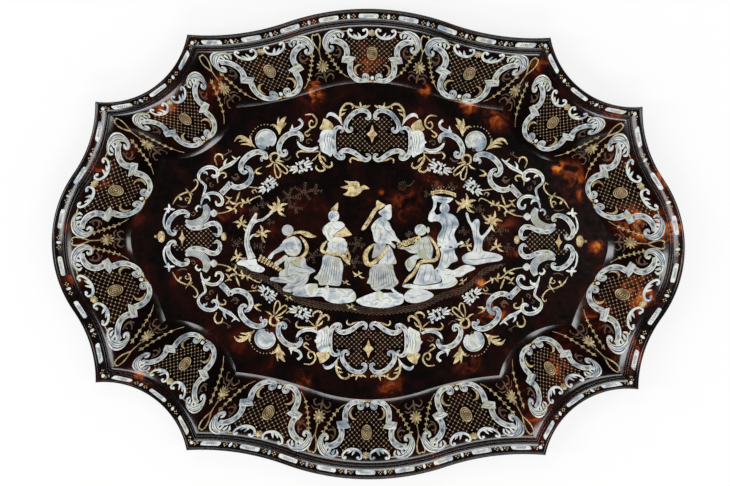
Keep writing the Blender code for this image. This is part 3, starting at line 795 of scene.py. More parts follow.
def cartoucheSheet():
    sheet = Sheet()
    for flip in (1, -1):
        lower = curl(7.3, 4.9, 0.9, 3.5, -130, 270, 1.6, 3.4)
        lower += [(11.8, 1.9, 4.2), (16.6, 4.0, 4.8), (20.3, 8.6, 5.2), (21.0, 14.2, 5.2),
                (19.8, 20.0, 4.8)]
        sheet.band("pearlBand", lower, 0.6, "channel", flip=flip)
        upper = [(23.4, 24.0, 5.0), (22.0, 29.5, 4.8), (23.2, 34.6, 5.0), (26.8, 38.6, 5.2),
                (31.2, 40.4, 4.6),
                 (35.0, 39.6, 3.0)]
        sheet.band("pearlBand", upper, 0.6, "channel", flip=flip)
        sheet.plate("pearl", [(14.6, 23.4), (20.6, 25.2), (26.4, 25.6), (28.4, 20.3), (22.8, 18.8),
                (17.6, 20.4)],
                    0.62, smooth=False, flip=flip, shade=0.12)
        sheet.lines([[(16.5, 22.9), (22, 23.6), (26.6, 20.8)], [(18.5, 21.2), (23, 21.8), (26.2, 22.6)]],
                lift=0.62, flip=flip)
        volute = [(24.8, 42.6, 1.0), (23.6, 45.6, 2.0), (26.4, 48.3, 2.4), (31.0, 48.2, 4.2),
                (35.6, 45.4, 6.0),
                  (38.6, 41.0, 5.6), (39.4, 36.6, 4.0), (38.0, 33.0, 3.0), (35.0, 32.4, 2.6),
                  (33.8, 35.0, 2.2),
                  (35.8, 36.2, 1.4)]
        sheet.band("pearl", volute, 0.7, "channel", flip=flip)
        sheet.engrave(volute, (-.56, .56), 0.68, 0.3, flip)
        sheet.engrave(volute, (.02,), 0.52, 0.34, flip, trim=5)
        for x, y, dx, dy in ((28, 46.6, -1.8, -4.2), (31, 45.8, -1.6, -4.6), (34, 43.2, -2.4, -3.4)):
            sheet.band("pearl", [(x, y, 2.6), (x + dx * .6, y + dy * .5, 2.2), (x + dx, y + dy, .5)],
                    .6, flip=flip, shade=.1)
        sheet.lines([[(27.5, 47.6), (32, 46.4), (36.2, 42.2), (37.8, 37.5)], [(30.5, 49), (35.6, 47.2),
                (39.2, 42.8), (40.4, 38)]],
                    lift=0.72, flip=flip)
        smile = [(6.8, 46.8, 1.0), (5.6, 48.7, 1.5), (3.8, 47.6, 1.8), (3.7, 44.3, 2.0), (6.3, 41.6, 2.3),
                (10.8, 40.5, 2.6),
                 (15.4, 41.6, 2.3), (18.6, 44.4, 2.0), (19.3, 47.6, 1.8), (17.4, 49.2, 1.5),
                 (16.0, 47.4, 1.2)]
        sheet.band("pearl", smile, 0.5, flip=flip)
        sheet.bead("pearl", flip * 6.6, 47.4, 1.3, height=0.5)
        sheet.bead("pearl", flip * 16.8, 47.9, 1.3, height=0.5)
        sheet.band("pearl", [(9.6, 41.4, 2.6), (10.4, 43.4, 2.0), (11.6, 45.8, 0.4)], 0.45, flip=flip)
        sheet.band("pearl", [(12.4, 41.6, 2.2), (14.2, 43.4, 1.4), (15.2, 44.6, 0.4)], 0.45, flip=flip)
        crescent = [(11.2, 16.4, 0.5), (14.4, 15.4, 2.0), (16.6, 12.0, 2.5), (15.6, 8.4, 1.6),
                (13.6, 6.8, 0.5)]
        sheet.band("gold", crescent, 0.45, flip=flip)
        sheet.band("gold", [(20.4, 47.8, 0.8), (23.6, 47.6, 1.3)], 0.4, flip=flip)
        sheet.band("dim", curl(30.6, 30.6, 0.6, 4.4, 10, 330, 0.8, 1.5), 0.15, flip=flip)
        sheet.band("dim", [(30, 35, 1.2), (27.8, 31, 1.2), (28.4, 26.6, 1.0), (31.5, 24.4, .8)],
                0.15, flip=flip)
        sheet.band("gold", [(0.6, 0.9, 1.4), (3.4, 0.8, 1.8), (6.2, -0.6, 0.5)], 0.35, flip=flip)
    sheet.bead("gold", 0, 45.2, 2.6, height=0.8)
    for k in range(8):
        angle = k * math.pi / 4
        sheet.bead("gold", 2.5 * math.cos(angle), 45.2 + 2.5 * math.sin(angle), 0.75, height=0.45, fine=1)
    sheet.bead("pearl", 0, 4.0, 1.9, height=0.55)
    border = [(0, 42.6), (3, 42), (5.4, 39.6), (11, 38.4), (16.6, 40), (19.6, 43.4), (22.2, 41),
            (20.4, 36.5), (19.2, 30),
              (19.8, 26), (13.6, 24.4), (16.4, 20), (17.8, 14), (16.8, 17.6), (10.4, 18), (13, 12.8),
              (11.6, 9.6), (7.4, 10), (0, 7.4)]
    border += [(-x, y) for x, y in reversed(border[1:-1])]
    lattice(sheet, border, 4.3, [(0, 26.6, 5.6, 7.2)])
    return sheet


def medallionSheet():
    # an oval of gold sheet with raised rings and a boss
    sheet = Sheet()
    for reach, width in ((0.94, 1.0), (0.66, 0.8), (0.38, 0.8)):
        ring = [(4.6 * reach * math.cos(a), 26.6 + 6.1 * reach * math.sin(a),
                width) for a in np.linspace(0, 2 * math.pi, 25)]
        sheet.band("gold", ring, 0.7, step=0.9)
    sheet.bead("gold", 0, 26.6, 0.8, 1.2, height=0.8)
    oval = [(4.5 * math.cos(a), 26.6 + 6.0 * math.sin(a)) for a in np.linspace(0, 2 * math.pi, 32,
            endpoint=False)]
    sheet.plate("dim", oval, 0.25, smooth=False)
    return sheet


def pendantSheet():
    sheet = Sheet()
    for flip in (1, -1):
        loop = [(0.2, 34.6, 1.1), (1.6, 38.0, 1.2), (3.0, 42.5, 1.3), (3.2, 46.6, 1.3), (1.9, 49.2, 1.2),
                (0.4, 48.2, 1.0)]
        sheet.band("gold", loop, 0.4, flip=flip)
        chain = [(6.8, 31.0), (8.2, 27.2), (9.8, 23.2), (11.6, 19.2), (13.6, 15.2), (16.0, 11.6),
                (19.2, 8.0)]
        sheet.band("gold", [(x, y, 0.7) for x, y in chain] + [(23.0, 5.2, 0.5)], 0.25, flip=flip)
        for k, (x, y) in enumerate(chain[:-1]):
            ahead = Vector(chain[k + 1]) - Vector((x, y))
            ahead.normalize()
            side = Vector((-ahead.y, ahead.x))
            size = 3.0 if k % 2 == 0 else 2.4
            for turn in (1, 0, -1):
                tip = Vector((x, y)) - ahead * size * (0.2 if turn else 0.8) + side * turn * size * 0.72
                middle = (Vector((x, y)) + tip) / 2 + ahead * 0.4
                sheet.band("gold", [(x + ahead.x, y + ahead.y, 0.6), (*middle, 1.5), (*tip, 0.3)],
                        0.4, flip=flip)
        sheet.band("dim", [(1.5, 9, 1.2), (5.5, 11.5, 1.6), (8.5, 8.5, 1.2), (6.6, 6.2, 0.6)],
                0.12, flip=flip)
        sheet.band("dim", [(2.5, 13.5, 0.8), (6.5, 14.6, 1.2), (9.6, 12.8, 0.6)], 0.12, flip=flip)
    sheet.band("gold", [(0, 35, 1.2), (0, 30, 1.0), (0, 25, 1.3)], 0.4)
    for k in range(10):
        angle = k * math.pi / 5
        dx, dy = math.cos(angle), math.sin(angle)
        sheet.band("gold", [(2.2 * dx, 19.6 + 2.2 * dy, 1.2), (4.2 * dx, 19.6 + 4.2 * dy, 2.0),
                (5.8 * dx, 19.6 + 5.8 * dy, 0.5)], 0.45)
    sheet.bead("gold", 0, 19.6, 2.6, height=0.7)
    sheet.bead("pin", 0, 19.6, 1.2, height=1.0)
    sheet.band("dim", [(0, 14.0, 1.2), (0, 10.0, 2.6), (0, 5.0, 0.6)], 0.15)
    return sheet


wallPlan = {
    # where the cartouches and pendants stand along each side, in mm at mid wall: place, stretch, climb
    "north": ([(-90, 1.04, 2.0), (2.5, 1.0, 0.0), (91, 1.04, 1.5)], [-43.5, 46.5]),
    "south": ([(-91, 1.04, 1.5), (0, 1.0, 0.5), (90, 1.04, 2.0)], [-46, 45]),
    "east": ([(-52, 1.10, 1.0), (46, 1.10, 1.0)], [-3]),
    "west": ([(-48, 1.10, 1.0), (49, 1.10, 1.0)], [0.5]),
    "corner": ([(-3.0, 0.88, 6.0)], []),
}


def makeWallOrnament():
    cartouche, medallion, pendant = cartoucheSheet(), medallionSheet(), pendantSheet()
    for side, (kind, flipX, flipY) in sides.items():
        places, gaps = wallPlan["corner" if kind == "corner" else side]
        for k, (start, stretch, climb) in enumerate(places, start=1):
            if kind == "corner":
                start = 0.0
            place = onWall(side, start, stretch, climb)
            squeeze = 0.88 if kind == "corner" else 1.0
            def shrunk(flat, place=place, squeeze=squeeze):
                return place(flat * np.array([1, squeeze, 1]))
            cartouche.lay(f"cartouche_{side}_{k}", shrunk)
            gold = medallion.lay(f"medallion_{side}_{k}", shrunk)[0]
            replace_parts(gold, f"medallion_{side}_{k}")
        for k, start in enumerate(gaps, start=1):
            pendant.lay(f"pendant_{side}_{k}", onWall(side, start))
    around = ["north", "northeast", "east", "southeast", "south", "southwest", "west", "northwest"]
    for side, following in zip(around, around[1:] + around[:1]):
        pendant.lay(f"pendant_{side}_{following}", onMitre(side, following))


# inlay of the floor: one quarter, drawn for +X and +Y and turned over for the others

quarter = {
    "pearlBand": [
        [(63.4, 89.4, 2), (62.6, 93, 3.6), (66, 96.6, 4.2), (71.5, 96.6, 4.6), (77, 94, 4.8),
        (81, 89.5, 4.8), (83, 84, 4.4),
         (82.4, 79.2, 3.8), (79.2, 76.6, 3.2), (76.4, 78.4, 2.6), (77.2, 81.2, 2.2), (79.8, 80.4, 1.4)],
        curl(97.2, 72.2, 0.8, 3.4, -60, 150, 1.4, 3.2) + [(95.4, 77.6, 4), (101, 79.6, 4.6),
        (107.4, 78, 5), (112.8, 74, 5),
         (116.4, 69, 4.8), (117, 63.8, 4.2), (114, 60.8, 3.4), (111.4, 62.4, 2.4)],
        [(113.4, 66.4, 2), (109.6, 64.6, 3.4), (107.6, 60, 4), (108.6, 54.6, 4.4), (112.8, 50, 4.6),
        (118.4, 47.8, 4.6),
         (123.6, 48.4, 4.4), (126.6, 51.4, 3.6)],
        [(125.8, 51.4, 5.4), (129.6, 47.2, 5.2), (134.6, 42, 5.2)],
    ],
    "pearl": [
        [(65.4, 109.4, 2.6), (62.4, 106.4, 2.2), (63.8, 102.6, 2.4), (68.6, 100, 2.8), (73.6, 99.4, 1.6)],
        [(71.4, 99.6, 2.4), (71.4, 102, 1.8), (71.2, 104.6, 0.4)],
        [(48, 84.4, 2.2), (53.4, 82.2, 3), (59.4, 82.6, 3.2), (64.2, 85.4, 2.8), (66.6, 89.2, 1.6)],
        [(117.8, 75.4, 0.8), (122.2, 71.6, 2.2), (127, 68, 3.4), (132.2, 65.4, 3), (137.8, 61.6, 1.8)],
        [(121, 72.6, 2), (123.2, 74, 1.6), (125.2, 76, .4)], [(131.6, 66.4, 2.4), (131.6, 70, 2),
        (129.6, 73.2, .4)],
        [(143.2, 58.6, 2), (140.6, 57, 3), (137.9, 58.8, 3.2), (138.3, 62.6, 3.2), (142, 65.2, 3.2),
        (147, 65.2, 3.6),
         (151.8, 62.8, 3.4), (154.8, 58.8, 2.8), (154.4, 54.4, 2), (151, 51.2, 2), (148.7, 48.4, 2.2),
         (149.6, 43.6, 2), (151.6, 39, 1.4)],
        [(150.4, 61, 2.4), (147.8, 60.4, 1.6), (147, 58.4, .5)],
        [(139.6, 35.2, 1.4), (138.4, 31.9, 2.4), (134.8, 32.1, 2.8), (133.4, 36, 2.8), (136.6, 40.8, 2.8),
        (142, 42.4, 2.8),
         (148, 40.8, 2.6), (151.6, 36.6, 2), (152.8, 31.6, 1)],
        [(149.6, 38.6, 2.2), (146, 38.3, 2.2), (144.6, 35.2, 1)],
    ],
    "gold": [
        [(48, 80.6, 1.4), (57, 80.2, 1.8), (64.6, 80.4, 1.8), (67.2, 77.6, 1.6), (65.4, 74.6, 1)],
        [(83, 95.4, 1), (82, 102, 4.2), (80, 107.6, 4.2), (76.8, 111.4, .8)], [(83, 98, 1),
        (83.8, 106, 2.4), (83.4, 111, .5)],
        [(83, 97, 1), (85.4, 102.2, 2.6), (89.8, 104.4, .8)], [(81.6, 100, 1), (79, 103.4, 2),
        (76.6, 105.6, .5)],
        [(104.4, 83.4, .8), (109, 88, 2.8), (115, 92.2, 3.8), (119.8, 92.4, 2.6), (123, 88.6, .6)],
        [(107, 84.6, .8), (111.6, 86.6, 2.2), (117.6, 86, .5)], [(107, 86.4, .8), (108.6, 90.4, 2),
        (109, 94.4, .5)],
        [(112, 89, .8), (116, 89.6, 2), (119, 88.4, .4)],
        [(133.2, 72.4, 1), (134.4, 76.4, 1.6), (138.4, 77, 1.8), (140.5, 73, 1.6), (138.4, 67.4, .8)],
        [(132.6, 56, 1), (130.6, 57, 1.4), (131, 60, 1.6), (135, 60.3, 1.8), (138.2, 56.4, 1.6),
        (137.8, 51.4, .8)],
        [(86, 71, 1.2), (80.6, 68.4, 1.6), (75.6, 63.6, 1.4), (76.4, 60.4, 1.4), (81, 63, 1.4),
        (85.4, 68.6, 1)],
        [(86, 69, 1.2), (81.8, 62.4, 1.4), (82.2, 57.6, 1.4), (84.8, 57, 1.4), (86.8, 63, 1.2),
        (87, 69, 1)],
        [(86, 71, 1.6), (83, 74.6, 2.4), (84.2, 78.2, 2), (87.8, 78.6, 2), (90.6, 76, 2.2),
        (89.6, 71.4, 2), (86.6, 70, 1.2)],
        [(88.6, 70, 1.2), (91.4, 67.4, 1.8), (94.8, 66, .6)], [(85.6, 72.6, 1.4), (81.6, 71.6, 1.6),
        (78.4, 71, .5)],
        [(60, 113, 1), (53.6, 113.4, 1.6), (49.6, 108.6, 1.8), (50.6, 103.6, 1.8), (54.4, 101.8, 1.6),
        (56.2, 105, 1.6),
         (54.4, 108.2, 1.4), (52.4, 106.4, 1)],
        [(54.6, 101, 1), (57.4, 98.6, 1.6), (60, 96.6, 1.8), (58, 94.2, 1.6), (55.4, 96, 1)],
        [(62.4, 60.6, .6), (70, 63.6, 1), (76, 67.6, 1.2)], [(100.6, 47, .8), (106, 47.8, 1.2),
        (112, 48.4, .6)],
        [(104.4, 63, .8), (102.4, 60.6, 2.4), (98, 60.2, .6)], [(98.4, 66, .6), (103, 63.4, 1.6),
        (106.4, 58.4, .6)],
        [(98, 37.4, .8), (100, 40, 1.2), (105.4, 38, 1.2), (112, 34.2, 1.4), (119, 33.4, 1.4),
        (124, 28.4, 1.4), (131, 25.2, 1.2), (138, 24, .8)],
        [(118, 43.6, .8), (119.6, 39.4, 2), (121.6, 34.4, 1)], [(105.4, 42, .8), (107, 44.4, 1.2),
        (104.2, 45.4, 1.2), (102.6, 43, .8)],
        [(108.8, 33, 1), (111, 36.2, 2.4), (110.2, 38.6, .5)], [(113, 34, 1), (115, 35.6, 2.6),
        (116.4, 37.4, .5)],
        [(115, 33, 1), (116.4, 31, 2.4), (116, 29, .4)], [(121, 33, 1), (124.4, 33.4, 2.6),
        (127.6, 35.6, .5)],
        [(123, 29, 1), (121.4, 26.4, 2.2), (122, 24, .4)], [(125, 28, 1), (127.6, 29.2, 2.6),
        (130.6, 29.6, .5)],
        [(127, 38.4, .8), (128, 35, 1.8), (130.6, 32.6, .6)], [(125, 38.6, .8), (127.6, 37.6, 1.6),
        (131, 39.6, .6)],
        [(178.4, 31.6, .6), (174, 38.4, 1.6), (168.6, 41.6, 1.6), (163.6, 42.8, 1.2), (160, 40.6, .6)],
        [(172.6, 39.4, .8), (171, 36.6, 2.6), (169.8, 36, .6)],
        curl(165.4, 35.8, 0.5, 3.4, -90, 250, 0.8, 1.4) + [(161.8, 38.4, 1.4), (164, 42.6, 1.4),
        (166.4, 46, .6)],
        [(163.6, 42, .8), (158.4, 45.6, 1.4), (155.6, 50.6, 1.4), (157.4, 54.2, 1.4), (159.6, 52.8, 1)],
    ],
    "dim": [
        curl(66.6, 92.6, .3, 2.2, 0, 300, .5, .9), curl(56.6, 88.6, .3, 3.4, 180, 520, .7, 1.2),
        curl(126.6, 80.6, .3, 2, 90, 400, .5, 1), [(128, 79, .8), (132, 76.6, 1.2), (137, 78, .6)],
        curl(121.6, 58.4, .4, 3, 0, 320, .7, 1.2), [(118.4, 57, 1), (122, 54, 1.2), (125.4, 57.6, .8)],
        curl(142.6, 49.4, .4, 2.6, 90, 420, .7, 1.2), curl(147, 54, .4, 2, 200, 500, .5, .9),
        [(72, 76, .8), (75.4, 72.8, 1.4), (79, 73.4, .6)], curl(93.2, 83.8, .3, 1.6, 0, 300, .5, .9),
    ],
}
clusters = [((63.4, 66.6), (9.0, 4.4), -20), ((93.4, 49.4), (8.0, 4.4), -38)]
shellFan = {"middle": (94.8, 90.6), "radius": 9.6, "hinge": (90.4, 84.4), "halo": 13.6}


def quarterSheet():
    sheet = Sheet()
    for points in quarter["pearlBand"]:
        sheet.band("pearlBand", points, 0.55, "channel")
    for points in quarter["pearl"]:
        sheet.band("pearl", points, 0.5, "channel")
        if len(points) > 4:
            sheet.engrave(points, (0,), 0.37, 0.34)
    for points in quarter["gold"]:
        sheet.band("gold", points, 0.4)
    for points in quarter["dim"]:
        sheet.band("dim", points, 0.12)
    sheet.lines([[(127.6, 52.2), (136.6, 42.6)], [(125, 50), (133.2, 41.6)]], lift=0.52)
    chooser = random.Random(7)
    for (x, y), (long, short), turn in clusters:
        spin = math.radians(turn)
        for row in range(5):
            for column in range(-2, 3):
                share = (row - 2) / 2.2
                if abs(column) > 2.3 * (1 - share * 0.5) - 0.6 * abs(share):
                    continue
                u = share * long + chooser.uniform(-.4, .4)
                v = column * short * 0.42 * (1 - share * 0.35) + chooser.uniform(-.3, .3)
                sheet.bead("pearl", x + u * math.cos(spin) - v * math.sin(spin),
                        y + u * math.sin(spin) + v * math.cos(spin),
                           chooser.uniform(1.1, 1.5), height=0.8, shade=chooser.uniform(0, .3), fine=1)
        for k in range(10):
            angle = 2 * math.pi * k / 10
            u, v = long * 0.98 * math.cos(angle), short * 0.98 * math.sin(angle)
            x1, y1 = x + u * math.cos(spin) - v * math.sin(spin), y + u * math.sin(spin) + v * math.cos(spin)
            x2, y2 = x + (x1 - x) * 1.28, y + (y1 - y) * 1.28
            sheet.band("pearl", [(x + (x1 - x) * .6, y + (y1 - y) * .6, 1.6), (x1, y1, 1.9), (x2, y2, .4)],
                    0.45, shade=.08)
    mx, my = shellFan["middle"]
    radius = shellFan["radius"]
    outline = [(mx + radius * math.cos(math.radians(a)),
            my + radius * math.sin(math.radians(a))) for a in range(-62, 181, 12)]
    outline += [(86.4, 87.2), (88.6, 85.4), (90.6, 86.6), (92.4, 84.2), (94.2, 84.6), (95.2, 82.2),
            (97.4, 82)]
    sheet.plate("pearl", outline, 0.6, smooth=False, shade=0.12)
    hx, hy = shellFan["hinge"]
    ribs = []
    for k in range(9):
        angle = math.radians(-28 + 17 * k)
        reach = 13.0 if 1 < k < 7 else 9.5
        ribs.append([(hx + 3.2 * math.cos(angle), hy + 3.2 * math.sin(angle)),
                (hx + reach * math.cos(angle), hy + reach * math.sin(angle))])
    rim = [(mx + (radius - 1.3) * math.cos(math.radians(a)),
            my + (radius - 1.3) * math.sin(math.radians(a))) for a in range(-50, 171, 20)]
    sheet.lines(ribs + [rim], width=0.4, lift=0.6)
    sheet.band("pearl", curl(88.8, 87.2, .4, 2.2, 0, 330, .7, 1.2), 0.8)
    sheet.band("pearl", curl(96.8, 83.6, .4, 2.2, 90, 420, .7, 1.2), 0.8)
    for k in range(11):
        angle = math.radians(8 + 12.6 * k)
        sheet.pin("pin", mx + shellFan["halo"] * math.cos(angle), my + shellFan["halo"] * math.sin(angle),
                0.75, 0.4)
    return sheet


def longFieldSheet():
    # field cartouche beside a long side, drawn for +Y about x = 0
    sheet = Sheet()
    for flip in (1, -1):
        top = curl(4.9, 111.6, .5, 2.4, 330, 190, 1.8, 3.2, 5)
        top += [(2.9, 114.4, 3.4), (6.2, 117.2, 3.8), (11, 117.4, 4), (16, 115.2, 4.2), (20, 111.4, 4.2),
                (23, 106.8, 4),
                (23.6, 102.2, 3.6), (21.6, 98.9, 3), (18.6, 99.2, 2.4), (18, 101.6, 2), (19.8, 102.4, 1.2)]
        sheet.band("pearlBand", top, 0.55, "channel", flip=flip)
        outer = [(28.4, 97.6, 1.2), (26.2, 98.8, 1.8), (27, 101.8, 2.6), (30.8, 102, 3.4), (34, 98.4, 4.2),
                (34.8, 91.4, 4.6),
                 (34.6, 84.6, 4.6), (33, 78.8, 4.2), (29, 75, 3.8), (25.6, 75, 3), (25.2, 77.6, 2.2),
                 (27.4, 78, 1.4)]
        sheet.band("pearlBand", outer, 0.55, "channel", flip=flip)
        low = [(5.4, 78.2, 1.6), (2.8, 78, 2.4), (2.2, 75, 3), (5.4, 73.2, 3.6), (9.6, 75.2, 4),
                (13.8, 78.4, 4.2), (18.2, 80.8, 4.4),
               (23, 81.8, 4.4), (27, 80.6, 3.8), (30, 78.2, 2)]
        sheet.band("pearlBand", low, 0.55, "channel", flip=flip)
        horn = [(26.6, 104.4, .8), (29.8, 109.6, 2.2), (34.4, 113.4, 3.4), (38.4, 113.8, 3),
                (41, 110.8, .6)]
        sheet.band("pearl", horn, 0.5, flip=flip)
        sheet.plate("pearl", [(34.4, 98.6), (39, 100), (44, 99.4), (46.4, 95.6), (46.6, 92.6),
                (48.6, 89.4), (46.8, 88.2), (47, 86.4),
                    (46.2, 84.8), (46, 81.6), (43.4, 79.6), (40, 78), (36.4, 76.2), (35.2, 82),
                    (36.6, 90)], 0.58, flip=flip, step=1.2)
        sheet.lines([[(44.2, 92.8), (45.4, 92.4)], [(44.6, 85.8), (46, 86)], [(40.8, 97.4), (42.6, 92),
                (41.6, 86), (42.6, 81.4)],
                     [(38.6, 97.6), (40, 92), (39, 86), (39.6, 80)], [(36.8, 96.6), (37.8, 91), (37, 85),
                     (37.4, 79)]], lift=.58, flip=flip)
        sheet.plate("gold", [(34.6, 102.6), (36.4, 106.4), (40.8, 109.4), (43.4, 109.8), (44.6, 105.6),
                (46.8, 101), (42.6, 99.2), (38.6, 97.8)],
                    0.5, flip=flip, shade=0)
        sheet.lines([[(38.6, 99.4), (38.2, 106)], [(41, 100), (41.4, 108)], [(43.6, 100.6),
                (43.2, 107.4)]], lift=.5, flip=flip)
        scroll = [(26.6, 104.4, .8), (28.6, 110.6, 2), (28, 117.2, 2.2), (24.6, 122.4, 2.2),
                (20, 123.6, 2), (16.8, 121.2, 1.8), (18.2, 119, 1)]
        sheet.band("gold", scroll, 0.42, flip=flip)
        for x, y, dx, dy in ((27.8, 113, -4, 2.6), (26.6, 117.6, -4, .6), (13.6, 120.4, 3, 1.4),
                (10, 120.6, 1, 4.4), (8, 120.6, -2.6, 1.6), (5, 120.4, -3.2, 1.8)):
            sheet.band("gold", [(x, y, 1.8), (x + dx * .6, y + dy * .6, 1.7), (x + dx, y + dy, .4)],
                    0.4, flip=flip)
        sheet.band("gold", [(15, 120.2, 1.4), (9, 120.6, 1.8), (4, 120.2, 1)], 0.4, flip=flip)
        sheet.band("gold", [(7, 72.2, .8), (12.4, 73.2, 1.6), (17.2, 75, 1.6), (19.6, 73, 1.6),
                (18.8, 70.6, .8)], 0.4, flip=flip)
        tail = [(46.4, 81, .8), (46.6, 75, 2.2), (43.6, 69.6, 2.6), (38.6, 66.4, 2.2), (35.6, 68.4, 1.8),
                (36.4, 71.4, 1.2)]
        sheet.band("gold", tail, 0.42, flip=flip)
        sheet.band("gold", [(44, 67.6, 1), (42, 64.6, 2), (46, 63, 2), (50, 65.6, 1.6), (49.4, 68, .8)],
                0.4, flip=flip)
        sheet.band("gold", [(46.6, 77, .8), (42.6, 74.4, 2), (41, 71.6, .6)], 0.4, flip=flip)
        sheet.band("gold", [(47.4, 78, .8), (51.4, 73.6, 1.2), (55, 71, .6)], 0.35, flip=flip)
    border = [(0, 113), (2, 108.6), (6.8, 108), (8.4, 113.6), (14, 112.6), (18, 109), (20, 105),
            (16, 103.6), (15, 98.6), (21, 95.6),
              (26.4, 94.6), (31.8, 95.6), (32, 88), (31.4, 82.6), (24.6, 84.8), (16, 83.8), (9.6, 80),
              (3.6, 80.8), (0, 78)]
    border += [(-x, y) for x, y in reversed(border[1:-1])]
    lattice(sheet, border, 4.3, [(0, 96.4, 5.6, 9.4)])
    star = [(0, 105), (1.8, 99.4), (5, 96.4), (1.8, 93.4), (0, 87.8)]
    star += [(-x, y) for x, y in reversed(star[1:-1])]
    sheet.plate("gold", star, 0.6, smooth=False)
    sheet.bead("gold", 0, 96.4, 1.5, height=1.0)
    return sheet


def shortFieldSheet():
    # field cartouche beside a short side, drawn for +X about y = 0
    sheet = Sheet()
    for flip in (1, -1):
        def turned(points, flip=flip):
            return [(x, y * flip, w) for x, y, w in points]
        inner = [(140.8, 4.4, 1.6), (138.4, 2.6, 2.6), (135.9, 4.8, 3.4), (136, 9.6, 4),
                (139.4, 13.2, 4.2), (144.6, 13, 4.2),
                 (150, 10.4, 4), (156, 9, 3.8), (162, 9.6, 3.4), (166.6, 12.6, 2)]
        sheet.band("pearlBand", turned(inner), 0.5, "channel")
        fan = [(149.6, 30, 4.4), (147.4, 24.4, 6.8), (149.2, 18.6, 7.2), (154.4, 14.6, 7),
                (160.8, 13.4, 5.6), (166.6, 15.6, 2.4)]
        sheet.band("pearl", turned(fan), 0.62, "flat", shade=0.2)
        sheet.engrave(turned(fan), (-.66, -.36, -.04, .3, .64), 0.62, trim=1)
        sheet.band("pearl", turned([(152.6, 27.6, 1.6), (155, 29, 2.2), (157.4, 26.4, 2), (156, 23.8, 1)]),
                0.7)
        right = [(167.4, 19.6, 1.4), (164.6, 19.4, 2.4), (164.4, 22.2, 3), (168, 23.8, 3.8),
                (173, 23, 4.2), (177.8, 19.6, 4.4), (181.4, 14.4, 4.4),
                 (182.4, 8.6, 4), (180.2, 4.2, 3.4), (176.6, 3.2, 2.6), (175.8, 6, 2), (178, 7, 1.2)]
        sheet.band("pearlBand", turned(right), 0.5, "channel")
        sheet.band("pearl", turned([(182.4, 25.4, 1), (185.2, 20, 1.6), (186.2, 13, 1.8),
                (184.6, 7.6, 1)]), 0.45)
        for tip in ((176.2, 25.6), (181.6, 30.6), (185.8, 25.8), (182.6, 22.2)):
            sheet.band("pearl", turned([(181, 26, 1.6), ((181 + tip[0]) / 2, (26 + tip[1]) / 2, 2.4),
                    (*tip, .6)]), 0.5)
        sheet.plate("pearl", [(137.8, 22.6 * flip), (141, 26 * flip), (143.6, 24.4 * flip),
                (146.4, 22.6 * flip), (143.6, 20.6 * flip), (141, 19.2 * flip)],
                    0.5, shade=.2)
        sheet.band("dim", turned(curl(159.6, 22.4, .4, 2.6, 0, 330, .6, 1)), 0.12)
        sheet.band("dim", turned([(165, 28.6, .8), (169.6, 28, 1.2), (174, 29.6, .8)]), 0.12)
    border = [(139.4, 0), (141.6, -7), (147, -9.4), (156, -6), (166, -8.6), (172.6, -12.6), (177, -12.4),
            (179.4, -8.4), (174.2, -5.4), (172.8, 0)]
    border += [(x, -y) for x, y in reversed(border[1:-1])]
    lattice(sheet, border, 4.3, [(169.6, 0, 3.4, 6)])
    sheet.plate("gold", [(169.6, 6.4), (170.8, 2.4), (172.8, 0), (170.8, -2.4), (169.6, -6.4),
            (168.4, -2.4), (166.4, 0), (168.4, 2.4)], .5, smooth=False)
    sheet.bead("gold", 188.4, 1, 3.4, 5.4, height=0.6)
    sheet.bead("gold", 193.6, 1, 1.4, height=0.6)
    sheet.lines([[(187, -2.4), (189.6, -3.2)], [(186, 0), (191, 0)], [(186, 2.4), (190.6, 2.8)]], lift=.5)
    sheet.bead("gold", 132.2, 1.6, 2.6, 3.8, height=0.6)
    return sheet


def makeField():
    quarterWork, longField, shortField = quarterSheet(), longFieldSheet(), shortFieldSheet()
    corners = {"northeast": (1, 1), "southeast": (1, -1), "southwest": (-1, -1), "northwest": (-1, 1)}
    for name, (flipX, flipY) in corners.items():
        pieces = quarterWork.lay(f"strapwork_{name}", onFloor(flipX, flipY, 1.2, 1.2), flipX * flipY < 0)
        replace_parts(pieces[0], f"shell_{name}")
    for name, flipY, shift in (("north", 1, 2.4), ("south", -1, 0.4)):
        base = onFloor(1, flipY)
        def shifted(flat, base=base, shift=shift):
            return base(flat) + np.array([shift, 0, 0])
        pieces = longField.lay(f"field_{name}", shifted, flipY < 0)
        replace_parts(pieces[0], f"frame_{name}", f"lozenge_{name}")
    for name, flipX in (("east", 1), ("west", -1)):
        base = onFloor(flipX, 1, 1.2)
        def raised(flat, base=base):
            return base(flat) + np.array([0, 1.6, 0])
        pieces = shortField.lay(f"field_{name}", raised, flipX < 0)
        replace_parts(pieces[0], f"frame_{name}", f"lozenge_{name}")


# middle scene

def leafSpray(sheet, x, y, size, turn, look="gold", leaves=7):
    # a spray of pointed leaves fanned round a short stalk
    for k in range(leaves):
        angle = math.radians(turn + (k - (leaves - 1) / 2) * 285 / leaves)
        reach = size * (0.75 + 0.25 * math.cos(k * 2.1))
        side = math.radians(14 if k % 2 else -14)
        middle = (x + reach * .55 * math.cos(angle + side), y + reach * .55 * math.sin(angle + side),
                size * .27)
        tip = (x + reach * math.cos(angle), y + reach * math.sin(angle), .4)
        sheet.band(look, [(x, y, size * .14), middle, tip], 0.4 if look == "gold" else 0.12)


